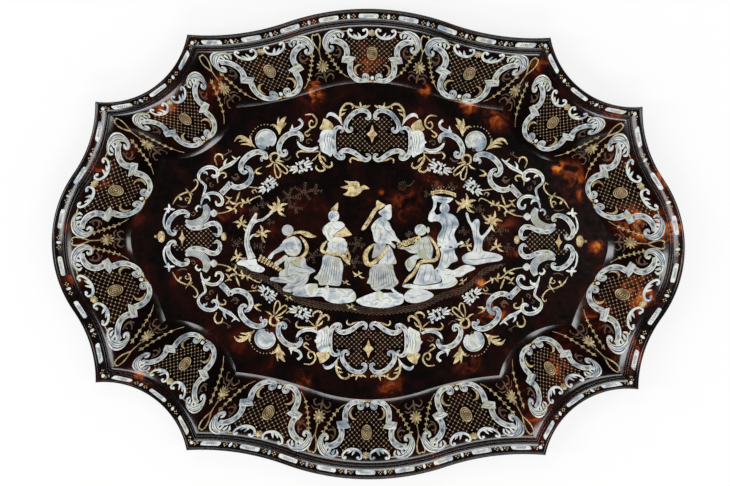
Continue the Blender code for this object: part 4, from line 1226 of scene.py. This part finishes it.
def sprig(sheet, x, y, reach, count, seed):
    # fine pin-work foliage: thin stalks with small leaves
    chooser = random.Random(seed)
    for k in range(count):
        angle = 2 * math.pi * k / count + chooser.uniform(-.3, .3)
        length = reach * chooser.uniform(.6, 1)
        end = (x + length * math.cos(angle), y + length * .8 * math.sin(angle))
        middle = ((x + end[0]) / 2 + chooser.uniform(-1, 1), (y + end[1]) / 2 + chooser.uniform(-1, 1))
        sheet.band("dim", [(x, y, .3), (*middle, .34), (*end, .26)], .1, "flat", 2.0)
        steps = max(2, round(length / 2.5))
        for share in ((j + .6) / steps for j in range(steps)):
            for side in (-1, 1):
                px, py = x + (end[0] - x) * share, y + (end[1] - y) * share
                a = angle + side * 0.9
                leaf = [(px, py, .2), (px + .9 * math.cos(a), py + .9 * math.sin(a), .62),
                        (px + 1.8 * math.cos(a), py + 1.8 * math.sin(a), .16)]
                sheet.band("dim", leaf, .1, "flat", 1.0)


def head(sheet, x, y, radiusX, radiusY, facing, shade=0.05):
    # a calm, plain head in three-quarter view: cap of hair, brow, nose line, eyes, mouth
    ring = [(x + radiusX * math.cos(a), y + radiusY * math.sin(a)) for a in np.linspace(0, 2 * math.pi, 14,
            endpoint=False)]
    sheet.plate("pearl", ring, 0.6, shade=shade)
    f = facing
    sheet.lines([
        [(x - f * radiusX * .2, y + radiusY * .95), (x + f * radiusX * .35, y + radiusY * .55),
        (x + f * radiusX * .9, y + radiusY * .35)],
        [(x - f * radiusX * .15, y + radiusY * .6), (x - f * radiusX * .25, y - radiusY * .1),
        (x - f * radiusX * .45, y - radiusY * .6)],
        [(x - f * radiusX * .55, y + radiusY * .5), (x - f * radiusX * .6, y - radiusY * .05),
        (x - f * radiusX * .75, y - radiusY * .4)],
        [(x + f * radiusX * .1, y + radiusY * .12), (x + f * radiusX * .28, y + radiusY * .14)],
        [(x + f * radiusX * .55, y + radiusY * .12), (x + f * radiusX * .72, y + radiusY * .12)],
        [(x + f * radiusX * .45, y + radiusY * .12), (x + f * radiusX * .5, y - radiusY * .22)],
        [(x + f * radiusX * .3, y - radiusY * .48), (x + f * radiusX * .56, y - radiusY * .46)]],
        width=.3, lift=.6)


def folds(top, bottom, low, high, count):
    # lines of a hanging skirt, fanned from the waist to the hem
    strokes = []
    for k in range(count):
        share = (k + .5) / count
        x1 = top[0] + (top[1] - top[0]) * share
        x2 = bottom[0] + (bottom[1] - bottom[0]) * share
        bend = (share - .5) * 1.6
        strokes.append([(x1, high), ((x1 + x2) / 2 + bend, (low + high) / 2),
                (x2, low + (1.2 if k % 2 else 3.4))])
    return strokes


def gathererSheet():
    sheet = Sheet()
    head(sheet, -72.6, 9.6, 5.2, 5.0, -1, .3)
    sheet.plate("pearl", [(-76, 0.5), (-71, 3), (-66.7, 4.2), (-61.6, .6), (-60, -5), (-62, -11),
            (-66, -13.6), (-72, -12.6), (-75.4, -8.6), (-77.6, -3)], .6, shade=.2)
    sheet.plate("pearl", [(-77.8, -2.6), (-75.6, -7.6), (-79.6, -10), (-84.4, -12.2), (-87, -16.4),
            (-90.4, -15.8), (-88.4, -12.2), (-84.6, -8.8), (-80.2, -5.4)], .5, shade=.14)
    sheet.plate("pearl", [(-74.2, -12.6), (-71.6, -16.4), (-76.6, -18.6), (-82.4, -23), (-84.4, -21.8),
            (-84, -19.4), (-79, -16)], .5, shade=.25)
    sheet.plate("pearl", [(-72.6, -15), (-66, -14.2), (-57.2, -15), (-55.6, -21.4), (-50, -24.6),
            (-47.6, -27), (-52.4, -29.8), (-54.2, -35.4), (-58.6, -40.6),
                          (-64, -45.2), (-71, -46.2), (-76.4, -44.8), (-76.4, -42.2), (-72.6, -38.4),
                          (-79, -37.6), (-88, -35.6), (-86.8, -33), (-80.2, -32.6), (-80.2, -29.6),
                          (-78.4, -26.6), (-75.2, -25), (-75.4, -20)], .56, shade=.3)
    sheet.lines([[(-74, -16), (-71.6, -22), (-73, -28), (-70, -34)], [(-70, -17), (-66, -22), (-60, -24),
            (-53, -25)], [(-79, -31.6), (-72, -32), (-66, -30.4), (-60, -33)],
                 [(-74, -37), (-67, -38), (-60, -35.6), (-56, -31)], [(-75, -43), (-68, -42), (-61, -39)],
                 [(-66, -27), (-60, -28.6), (-55, -28)],
                 [(-69, -2), (-68, -7), (-64, -9)], [(-73, -1), (-74, -5), (-71, -10)], [(-64, 0),
                 (-63, -5)], [(-85, -34.6), (-78, -35), (-73, -36)]], lift=.6)
    sheet.band("gold", [(-73.8, 2.6, .8), (-68.6, 6.4, 2.6), (-61.6, 8, 2.6), (-56, 6.4, 5.4),
            (-51, 4.6, 3.6), (-46.4, 4.2, .5)], .8)
    for k in range(24):
        share, row = (k % 8) / 7, k // 8
        sheet.bead("gold", -98 + 17.6 * share + row * .8,
                -17.6 - 8.6 * share + 2.0 * row - 1.6 * row * share, 1.35, height=.9, fine=1)
    sheet.band("gold", [(-61.6, 4.2, 1), (-57.4, -.4, 3), (-55.2, -6, 3.6), (-57.2, -12, 3.4),
            (-62, -15.6, 3), (-67, -18.4, 2.8), (-71.4, -20, .8)], .8)
    return sheet


def fanBearerSheet():
    sheet = Sheet()
    head(sheet, -31.4, 22.8, 4.9, 5.4, 1)
    sheet.plate("gold", [(-34.4, 28.6), (-31, 32), (-27.6, 35.4), (-27.4, 31), (-28.2, 27.6), (-31, 27.4)],
            .8, smooth=False)
    sheet.plate("pearl", [(-33.6, 18), (-29.6, 18), (-24.6, 17.8), (-21.4, 14.6), (-24, 11.6), (-29, 8),
            (-30.6, 4.6), (-24, 3.6), (-21, .4), (-35.2, .2), (-38, 4),
                          (-41, 7.6), (-41, 12), (-38, 15.2)], .6)
    sheet.plate("pearl", [(-35, .2), (-20.4, .2), (-20.6, -10), (-26, -12), (-37.6, -10.6), (-36.6, -5)],
            .5, shade=.14)
    sheet.plate("pearl", [(-39.6, -12.6), (-27, -14.6), (-24.6, -16.6), (-22.6, -22), (-23.4, -29),
            (-24.8, -38.6), (-29, -39.8), (-36, -39.2), (-43.6, -39.4), (-44.8, -35.6),
                          (-48.6, -33), (-45.4, -29.4), (-42, -22.4)], .58, shade=.2)
    sheet.lines(folds((-38.6, -26), (-45, -26), -38.6, -15, 8) + [[(-38.6, 12), (-36, 7), (-35, 2)],
            [(-33, 15), (-30, 11), (-26, 11.6)], [(-32, -1), (-33, -9)], [(-27, -1), (-27.4, -9)],
                [(-23, -1), (-22.8, -8)]], lift=.6)
    sheet.plate("gold", [(-32, 4), (-31.6, 6.4), (-26, 9.6), (-21, 13.6), (-17.6, 9.6), (-14.8, 6.2),
            (-17.4, 5.2), (-24, 4.2)], .85, smooth=False)
    sheet.band("gold", [(-37, .4, 1.2), (-40.4, -3, 3.4), (-41.8, -8, 3.4), (-37.6, -10.8, 3),
            (-31, -11.4, 3.4), (-24.4, -12, 3.6), (-20, -16.6, 4.4), (-16.6, -20.8, 1)], .85)
    sheet.band("gold", [(-21, -13, 1), (-19, -9, 2.6), (-20, -5, .8)], .8)
    sheet.band("gold", [(-17.4, -20, .8), (-17, -13, 2.2), (-19.4, -7, 1)], .8)
    sheet.band("pearl", [(-36, -40, 2.4), (-38.6, -42.4, 2.2), (-41, -43, .8)], .5)
    return sheet


def veilBearerSheet():
    sheet = Sheet()
    sheet.plate("pearl", [(19.8, 33.4), (16, 33), (13, 30), (8.6, 26.6), (11.4, 23.4), (15, 20.2),
            (18.6, 20.2), (20.4, 23.6), (20.2, 28)], .6, shade=.04)
    sheet.lines([[(14, 30), (15, 26), (18, 24.4)], [(17.6, 27.6), (18.6, 27.6)], [(18.4, 23.2),
            (19.4, 23.2)], [(11, 26.6), (13.6, 26), (14.6, 22.6)]], width=.32, lift=.6)
    sheet.plate("pearl", [(11, 22.6), (15, 20.6), (18.4, 17), (20.4, 12.4), (23, 9), (24.6, 5), (28.4, .6),
            (27.4, -1), (23.4, 1), (20, .8), (21.4, -.8), (24, -3.2), (23.4, -5.6), (21, -4.2),
                          (17.6, -1.6), (10, -1.4), (5.2, .8), (3.6, 7.4), (2.2, 13), (5.2, 18.2)],
                          .62, shade=.1)
    sheet.plate("pearl", [(6, -1.6), (15, -1.6), (13.6, -8), (9, -12.4), (3.2, -14.4), (4.4, -7)],
            .45, shade=.45)
    sheet.plate("pearl", [(17, -2.6), (20.4, -6), (23, -12.4), (25, -18.6), (20.6, -20), (9.6, -20),
            (10, -17), (14.6, -11)], .5, shade=.16)
    sheet.plate("pearl", [(9.6, -19.6), (20.8, -19.8), (22.6, -25.6), (24.8, -32), (27, -36.2),
            (23, -40.2), (19.4, -42.4), (13, -42), (9, -44.4), (5.4, -43.4), (2.6, -41), (1.6, -38),
            (-1.4, -37),
                          (.6, -32), (1.2, -25), (4.4, -21.4)], .58, shade=.32)
    sheet.lines(folds((4, 20), (1, 24.6), -42, -21.6, 10) + [[(8, 18), (5.6, 12), (6, 5)], [(13, 18),
            (14, 12), (19, 8), (23, 3)], [(10, 12), (11, 5), (9, 1)], [(16, 8), (18.6, 3)],
                [(11, 7), (13.4, 6.4)], [(19.6, -6), (20, -14)], [(17, -9), (17, -18)]], lift=.62)
    sheet.plate("gold", [(7, 37.2), (11, 35.4), (15.4, 32.8), (12.4, 31.2), (9.4, 29.2), (6.6, 29.4)],
            .7, step=1.4)
    sheet.band("gold", [(7.2, 30.4, 3.6), (4.6, 27, 4), (1.6, 21.6, 4), (-1.4, 16.6, 4.2),
            (-4.6, 12.2, 3.6), (-6.4, 10.6, 1.4)], .75)
    sheet.lines([[(3, 26), (.6, 20), (-3, 14)], [(8, 34.6), (10, 31.6)]], lift=.72)
    sheet.band("gold", [(5.6, -1.4, 1), (.8, -5.4, 3.6), (-2.6, -11, 4.8), (-2, -18, 5.2), (2, -20.4, 4.4),
            (7.4, -16.4, 4), (12.6, -11, 3.6), (16.4, -5.4, 3), (17, -2.4, 1)], .85)
    sheet.band("pearl", [(8, -43.6, 2.4), (10.6, -45.4, 2.4), (12.4, -45.8, 1)], .5)
    sheet.band("pearl", [(21, -41.8, 2.4), (24, -44.8, 2.6), (27.4, -46.2, 1)], .5)
    return sheet


def seatedSheet():
    sheet = Sheet()
    head(sheet, 46.4, 11.2, 5.3, 5.1, -1, .12)
    sheet.bead("pearl", 53, 11.2, 1.5, 2.9, height=.5, shade=.2)
    sheet.plate("pearl", [(50.2, 5), (53, 5.2), (56, -.8), (57.6, -6), (56.8, -12.4), (55.4, -14.6),
            (47.8, -14.6), (43.6, -10.4), (40, -7), (40.4, -2), (44.4, 2.4)], .6, shade=.3)
    sheet.plate("pearl", [(41, -2.4), (34, -4.4), (28, -4.6), (28, -6), (32, -6.4), (35.4, -8.4),
            (38.6, -9.8), (44, -9.6), (45, -6)], .52, shade=.2)
    sheet.plate("pearl", [(48, -13), (43.4, -15.6), (41.8, -20.4), (38.6, -24.6), (36.4, -26.2), (34, -23),
            (32.6, -19), (34.2, -15.8), (38, -13), (43.4, -10.8)], .55, shade=.22)
    sheet.plate("pearl", [(47, -20.4), (52, -19.4), (56.8, -20.2), (58.8, -24.2), (61.6, -25.8), (65, -34),
            (60, -36.4), (48.6, -38.2), (40.4, -37), (42, -32.6), (44.6, -25.6)], .55, shade=.14)
    sheet.lines([[(50, 2), (49, -4), (52, -10)], [(54, 1), (55, -6), (54, -12)], [(46, 0), (45, -6),
            (47, -12)], [(36, -15), (35, -20), (38, -24)], [(47, -22), (45, -29), (43, -35)],
                 [(52, -21), (50, -29), (49, -36)], [(56, -22), (56, -29), (54, -36)], [(59, -26),
                 (60, -31), (60, -35)], [(30, -5.4), (36, -6), (40, -7.6)]], lift=.6)
    for k in range(34):
        # the garland: rows of small gold flowers
        share, row = (k % 12) / 11, k // 12
        x = 26 + 19 * share + .6 * row
        y = -3.4 + 7.6 * share - (row - 1) * 1.9 * (1 - .5 * share) + .4 * math.sin(k * 2.4)
        sheet.bead("gold", x, y, 1.3, height=1.0, fine=1)
    sheet.band("gold", [(52.4, 6.8, 1), (56.8, 2, 2.6), (60.6, -4, 3), (62.2, -10.8, 3.4),
            (59.6, -15.6, 3.6), (53, -16.2, 3.6), (47, -17.8, 3.6), (43.2, -22.6, 3.4), (40.4, -28, 3.4),
                        (35.6, -32.4, 3.6), (30.6, -38.6, .8)], .85)
    return sheet


def basketBearerSheet():
    sheet = Sheet()
    head(sheet, 67.6, 30.8, 4.4, 5.0, -1)
    sheet.plate("pearl", [(56.6, 42), (66, 41), (75, 40), (73.6, 37.6), (70.6, 35.6), (64, 35.8),
            (61, 36.6), (60, 31.6), (58.4, 28), (60.8, 24.8), (65, 26.2), (70, 26.6), (75.6, 24.8),
            (79.2, 20.6),
                          (80.4, 15.8), (77.4, 11), (76.6, 6), (79.8, -2.4), (76.4, -5.2), (73, -3),
                          (70, -5.6), (66.4, -5.2), (64, -3), (62, -4), (61.6, 5.4), (65.4, 13),
                          (64.2, 17.4), (60.6, 19.2), (55, 18.6),
                          (53, 21), (53.8, 25.4), (57, 31.4), (57.4, 37)], .58, step=1.3)
    sheet.plate("pearl", [(64, -4.6), (75.8, -5), (77, -9), (79.8, -15.6), (74, -18.4), (71, -22),
            (66, -24), (59.4, -24.6), (62.6, -20.4), (65, -10.6)], .5, shade=.12)
    sheet.lines([[(58, 39.6), (66, 38.6), (73, 38.2)], [(68, 24), (70, 16), (68, 8), (66, -2)], [(73, 22),
            (75, 15), (72, 6), (72, -2)], [(63, 6), (64, 0)], [(76, 4), (76.6, -1)], [(60, 24), (57, 21)],
                 [(67, -7), (66, -14), (64, -21)], [(71, -7), (71, -14), (69, -20)], [(75, -8), (76, -14)],
                 [(65, 22), (67, 14), (65, 8)]], lift=.6)
    for k in range(30):
        share, row = (k % 15) / 14, k // 15
        x = 56 + 21 * share
        sheet.bead("gold", x, 43.4 + 2.2 * math.sin(math.pi * share) + 1.8 * row - 1.6 * share, 1.1,
                height=.8, fine=1)
    for k in range(9):
        x = 57 + 2.4 * k
        sheet.pin("pin", x, 47.6 + 1.6 * math.sin(math.pi * k / 8) + .6 * (-1) ** k, .6)
    sheet.bead("pearl", 83, 0, 1.9, 1.6, height=.5)
    sheet.band("pearl", [(78, -2, 1.8), (82, -.6, 1.6)], .4)
    return sheet


rocks = {
    "ground_left_rock": ([(-118, -20), (-113, -17.2), (-107, -17.4), (-101, -16.4), (-99.4, -21),
    (-93, -25), (-96, -28.6), (-105, -27), (-111, -23.4), (-117, -22)], .02),
    "ground_middle_rock": ([(-68, -48), (-60, -42), (-55, -38.6), (-46, -38.4), (-45, -42), (-38, -41.6),
    (-24, -42.4), (-15, -43), (-11, -48.6), (-13, -53.6), (-22, -55.6), (-31, -55.6), (-38, -53),
    (-42, -49.6), (-56, -50.2)], .08),
    "ground_front_rock": ([(-11, -53), (-4, -49), (2, -46.6), (8, -44.8), (14, -45.8), (22, -45.6),
    (31, -47.2), (31, -54.4), (24, -57.4), (15, -59.4), (4, -58.8), (-6, -57)], .0),
    "ground_small_rock": ([(32, -48), (37, -42.6), (44, -41.8), (52, -43), (58.6, -47.4), (52, -52),
    (42, -54.6), (34, -53)], .12),
    "ground_right_rock": ([(30.6, -40), (36, -37.4), (48, -38.8), (60, -37.4), (66, -34.6), (62, -25.4),
    (70, -23.4), (76, -24.6), (85, -20.2), (92, -20.2), (95.4, -23.2), (88, -27), (83, -30.4), (77.4, -31),
    (80, -35),
                           (75, -39.4), (64, -41.4), (45, -42)], .04),
}


def makeMiddle():
    for node, (points, shade) in rocks.items():
        sheet = Sheet()
        sheet.plate("pearl", points, .55, shade=shade)
        xs = [point[0] for point in points]
        ys = [point[1] for point in points]
        low, high = min(ys), max(ys)
        strokes = []
        for k in range(4):
            x = min(xs) + (max(xs) - min(xs)) * (.18 + .2 * k)
            y = low + (high - low) * (.34 + .12 * (k % 3))
            if inside(points, x, y) and inside(points, x + 5, y):
                strokes.append([(x, y), (x + 3, y + .8), (x + 6, y + .2)])
        if strokes:
            sheet.lines(strokes, lift=.55)
        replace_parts(sheet.lay(node, onFloor())[0], node)
    figures = {"figure_gatherer": gathererSheet, "figure_with_fan": fanBearerSheet,
            "figure_with_veil": veilBearerSheet,
               "figure_seated": seatedSheet, "figure_with_basket": basketBearerSheet}
    for node, build in figures.items():
        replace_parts(build().lay(node, onFloor())[0], node)
    tree = Sheet()
    tree.band("pearl", [(-104.6, -16.4, 8), (-107, -10, 6), (-109, -3, 5.2), (-108.8, 4, 4.8),
            (-107, 11, 4.8), (-103.4, 18, 5), (-100.6, 24.6, 2)], .6, shade=.14)
    tree.band("pearl", [(-104, 16, 3), (-99, 18, 2.6), (-95, 19, 2.4), (-90, 22.6, 2.2),
            (-85.6, 26.6, 1.4)], .5, shade=.16)
    tree.band("pearl", [(-107.6, 1, 2.6), (-104.4, 4.4, 1.8), (-100.2, 6.2, .8)], .5, shade=.1)
    tree.band("pearl", [(-107.6, 6, 2.4), (-110, 8.6, 1.8), (-112, 11, 1)], .5, shade=.1)
    tree.lines([[(-106.6, -14), (-109, -6), (-109.4, 2), (-107, 11)], [(-103, -15), (-106, -8),
            (-107.4, 0), (-105.4, 10), (-102.4, 18)], [(-100, 17.6), (-93, 20)]], lift=.62)
    for x, y, size, turn, leaves in ((-82, 29, 10.5, 90, 13), (-114, 15, 8, 110, 9),
            (-95.6, 6, 8.4, 60, 10), (-117, -15, 7.6, 120, 8)):
        leafSpray(tree, x, y, size, turn, leaves=leaves)
    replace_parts(tree.lay("tree_left", onFloor())[0], "tree_left")
    stump = Sheet()
    stump.plate("pearl", [(83.6, -12.6), (88, -9.2), (93, -6.8), (94.4, -1), (93.6, 4), (92.6, 10),
            (90.6, 15.6), (88, 20), (86.4, 26.6), (88.2, 27), (90, 21.6), (92, 18), (94.6, 20.8),
            (97.6, 21.4), (99.2, 17.6),
                          (98.4, 11), (100.6, 6.6), (104.6, 10), (108.6, 15.4), (110.4, 14.6), (107, 9),
                          (103, 4), (101.6, -1), (102, -6.6), (108, -8), (115, -9.6), (119.6, -12),
                          (118, -15.4), (106, -17.6), (95, -19.6), (86, -18)], .6, step=1.6, shade=.1)
    stump.lines([[(96, 17), (96.4, 8), (97, -2), (96, -9)], [(99.6, 2), (99.4, -4), (101, -8)], [(86, -14),
            (94, -15), (104, -13.6), (114, -12.6)], [(94, 12), (95, 4)]], lift=.62)
    for x, y, size, turn, leaves in ((86.4, 34, 10.5, 90, 13), (109.4, 19.6, 10, 60, 12),
            (88, -2.6, 7, 70, 7), (114.6, -3.4, 7.4, 90, 7), (84.6, -34.6, 4.8, 160, 5)):
        leafSpray(stump, x, y, size, turn, leaves=leaves)
    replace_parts(stump.lay("tree_stump", onFloor())[0], "tree_stump")
    bird = Sheet()
    bird.plate("gold", [(.2, 47.6), (-3, 50.4), (-5.6, 50.8), (-8, 49.4), (-8.6, 52.4), (-11, 54.2),
            (-16, 54), (-22.4, 54.6), (-18.4, 51.2), (-25.4, 48.6), (-19, 46.8), (-20, 44.4), (-23, 42),
            (-14, 40.6), (-9, 42.8), (-5, 46.6)], .6, step=1.2)
    bird.lines([[(-10, 52.6), (-16, 52)], [(-10, 50.4), (-15, 50), (-20, 49.2)], [(-9, 48), (-15, 47.6)],
            [(-10, 44.6), (-17, 43)]], lift=.6)
    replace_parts(bird.lay("bird", onFloor())[0], "bird")
    pins = Sheet()
    brink = [(-123, -20.6), (-108, -28.6), (-88, -36), (-78, -44.6), (-62, -53), (-42, -57.6),
            (-20, -59.4), (6, -62.4), (28, -60.6),
             (48, -56.6), (66, -48), (84, -42), (94, -34), (104, -25), (122, -18.4)]
    for drop, wave, width in ((-2.6, .9, .5), (-1.0, .5, .4), (.6, .7, .4), (2.2, .4, .4)):
        path = smoothPath([(x, y, 0) for x, y in brink], 2.0)
        pins.band("dim", [(p[0], p[1] + drop * min(1, k / 9, (len(path) - 1 - k) / 9) + wave * (-1) ** k,
                width)
                          for k, p in enumerate(path)], .1, "flat", 1.0)
    for x, y, reach, count, seed in ((-72, 40, 12, 5, 1), (-58, 44, 12, 5, 2), (-48, 46, 7, 4, 21),
            (-66, 30, 8, 4, 3), (-98, -5, 8, 5, 4), (-95, 33, 6, 4, 5), (-50, -13, 10, 5, 6),
            (-10, -2, 10, 6, 7), (-13, -18, 10, 5, 8),
                                     (-118, -2, 7, 5, 9), (85, 10, 6, 4, 10), (98, 30, 6, 5, 11),
                                     (108, 4, 7, 5, 12), (118, 12, 8, 5, 13), (124, -4, 7, 4, 14),
                                     (-102, 28, 5, 4, 15), (60, 50, 6, 4, 16),
                                     (74, 50, 5, 4, 17), (-88, 17, 4, 3, 18), (52, 43, 4, 3, 19),
                                     (36, 7, 4, 4, 20)):
        sprig(pins, x, y, reach, count, seed)
    for x, y, size, turn in ((-9, -30, 6.4, 90), (-20, -37, 4.4, 90), (-15, -59, 5.4, 90),
            (-72, -51, 5, 270)):
        leafSpray(pins, x, y, size, turn, "gold", 5)
    for k in range(26):
        angle = k * 2.4
        radius = .5 + 3.6 * math.sqrt(k / 26)
        pins.pin("dim", 30 + radius * math.cos(angle), 50.6 + radius * 1.1 * math.sin(angle), .5)
    pins.band("dim", [(33, 50, .5), (38, 52, .6), (40.4, 56, .4)], .1)
    pins.lay("pinwork_middle", onFloor())


# light and surroundings

lamps = [
    # name, place, size, power
    ("lampSouth", (0.2, -1.4, 2.4), (1.2, 0.45), 15), ("lampNorth", (-0.2, 1.15, 2.7), (1.2, 0.45), 12),
    ("lampWest", (-1.45, 0.0, 2.35), (0.45, 1.2), 15), ("lampEast", (1.1, -0.1, 2.7), (0.45, 1.2), 12),
]


def makeLight():
    for name, place, (wide, deep), power in lamps:
        data = bpy.data.lights.new(name, "AREA")
        data.shape = "RECTANGLE"
        data.size, data.size_y = wide, deep
        data.energy = power
        lamp = bpy.data.objects.new(name, data)
        lamp.location = place
        lamp.rotation_euler = Vector(place).to_track_quat("Z", "Y").to_euler()
        bpy.context.scene.collection.objects.link(lamp)
    world = bpy.data.worlds.new("studio")
    bpy.context.scene.world = world
    world.use_nodes = True
    tree = world.node_tree
    background = tree.nodes["Background"]
    background.inputs["Color"].default_value = (1, 1, 1, 1)
    strength = addNode(tree, "ShaderNodeMapRange",
            {"To Min": 0.55, "To Max": 1.0}, {"Value": seenRay(tree)})
    tree.links.new(strength.outputs[0], background.inputs["Strength"])


def seenRay(tree):
    # one for rays that look, nought for rays that light
    path = addNode(tree, "ShaderNodeLightPath")
    near = addNode(tree, "ShaderNodeMath", {"operation": "MAXIMUM"},
                   {0: path.outputs["Is Camera Ray"], 1: path.outputs["Is Glossy Ray"]}).outputs[0]
    return addNode(tree, "ShaderNodeMath", {"operation": "MAXIMUM"},
                   {0: near, 1: path.outputs["Is Transmission Ray"]}).outputs[0]


def makeTent():
    # a black tent that only the polish sees: it keeps the shell deep between the lamps
    bm = bmesh.new()
    bmesh.ops.create_uvsphere(bm, u_segments=48, v_segments=32, radius=3.6)
    bmesh.ops.bisect_plane(bm, geom=bm.verts[:] + bm.edges[:] + bm.faces[:], plane_co=(0, 0, 0.45),
            plane_no=(0, 0, -1),
                           clear_outer=True)
    mesh = bpy.data.meshes.new("blackTent")
    bm.to_mesh(mesh)
    bm.free()
    material, _, shader = blankMaterial("velvetBlack")
    shader.inputs["Base Color"].default_value = (0.004, 0.004, 0.004, 1)
    shader.inputs["Roughness"].default_value = 1.0
    shader.inputs["Specular IOR Level"].default_value = 0.0
    mesh.materials.append(material)
    tent = bpy.data.objects.new("blackTent", mesh)
    tent.visible_camera = False
    tent.visible_diffuse = False
    tent.visible_shadow = False
    tent.visible_transmission = False
    bpy.context.scene.collection.objects.link(tent)


def makeStage():
    bm = bmesh.new()
    bmesh.ops.create_grid(bm, x_segments=1, y_segments=1, size=6)
    bmesh.ops.translate(bm, verts=bm.verts, vec=(0, 0, lowCorner.z - 0.0002))
    mesh = bpy.data.meshes.new("tableTop")
    bm.to_mesh(mesh)
    bm.free()
    material, tree, shader = blankMaterial("tableWhite")
    shader.inputs["Base Color"].default_value = (0.9, 0.9, 0.9, 1)
    shader.inputs["Roughness"].default_value = 0.8
    glow = addNode(tree, "ShaderNodeEmission", {"Strength": 1.0})
    share = addNode(tree, "ShaderNodeMath", {"operation": "MULTIPLY", 1: 0.8}, {0: seenRay(tree)})
    mix = addNode(tree, "ShaderNodeMixShader", {}, {0: share.outputs[0], 1: shader.outputs[0],
            2: glow.outputs[0]})
    tree.links.new(mix.outputs[0], tree.nodes["Material Output"].inputs["Surface"])
    mesh.materials.append(material)
    table = bpy.data.objects.new("tableTop", mesh)
    bpy.context.scene.collection.objects.link(table)


bpy.context.scene.view_settings.view_transform = "Standard"
makeCamera()
print("shell")
makeWalls()
makeRims()
makeFloor()
print("rim inlay")
makeRimInlay()
print("wall ornament")
makeWallOrnament()
print("field ornament")
makeField()
print("middle scene")
makeMiddle()
makeLight()
makeTent()
makeStage()
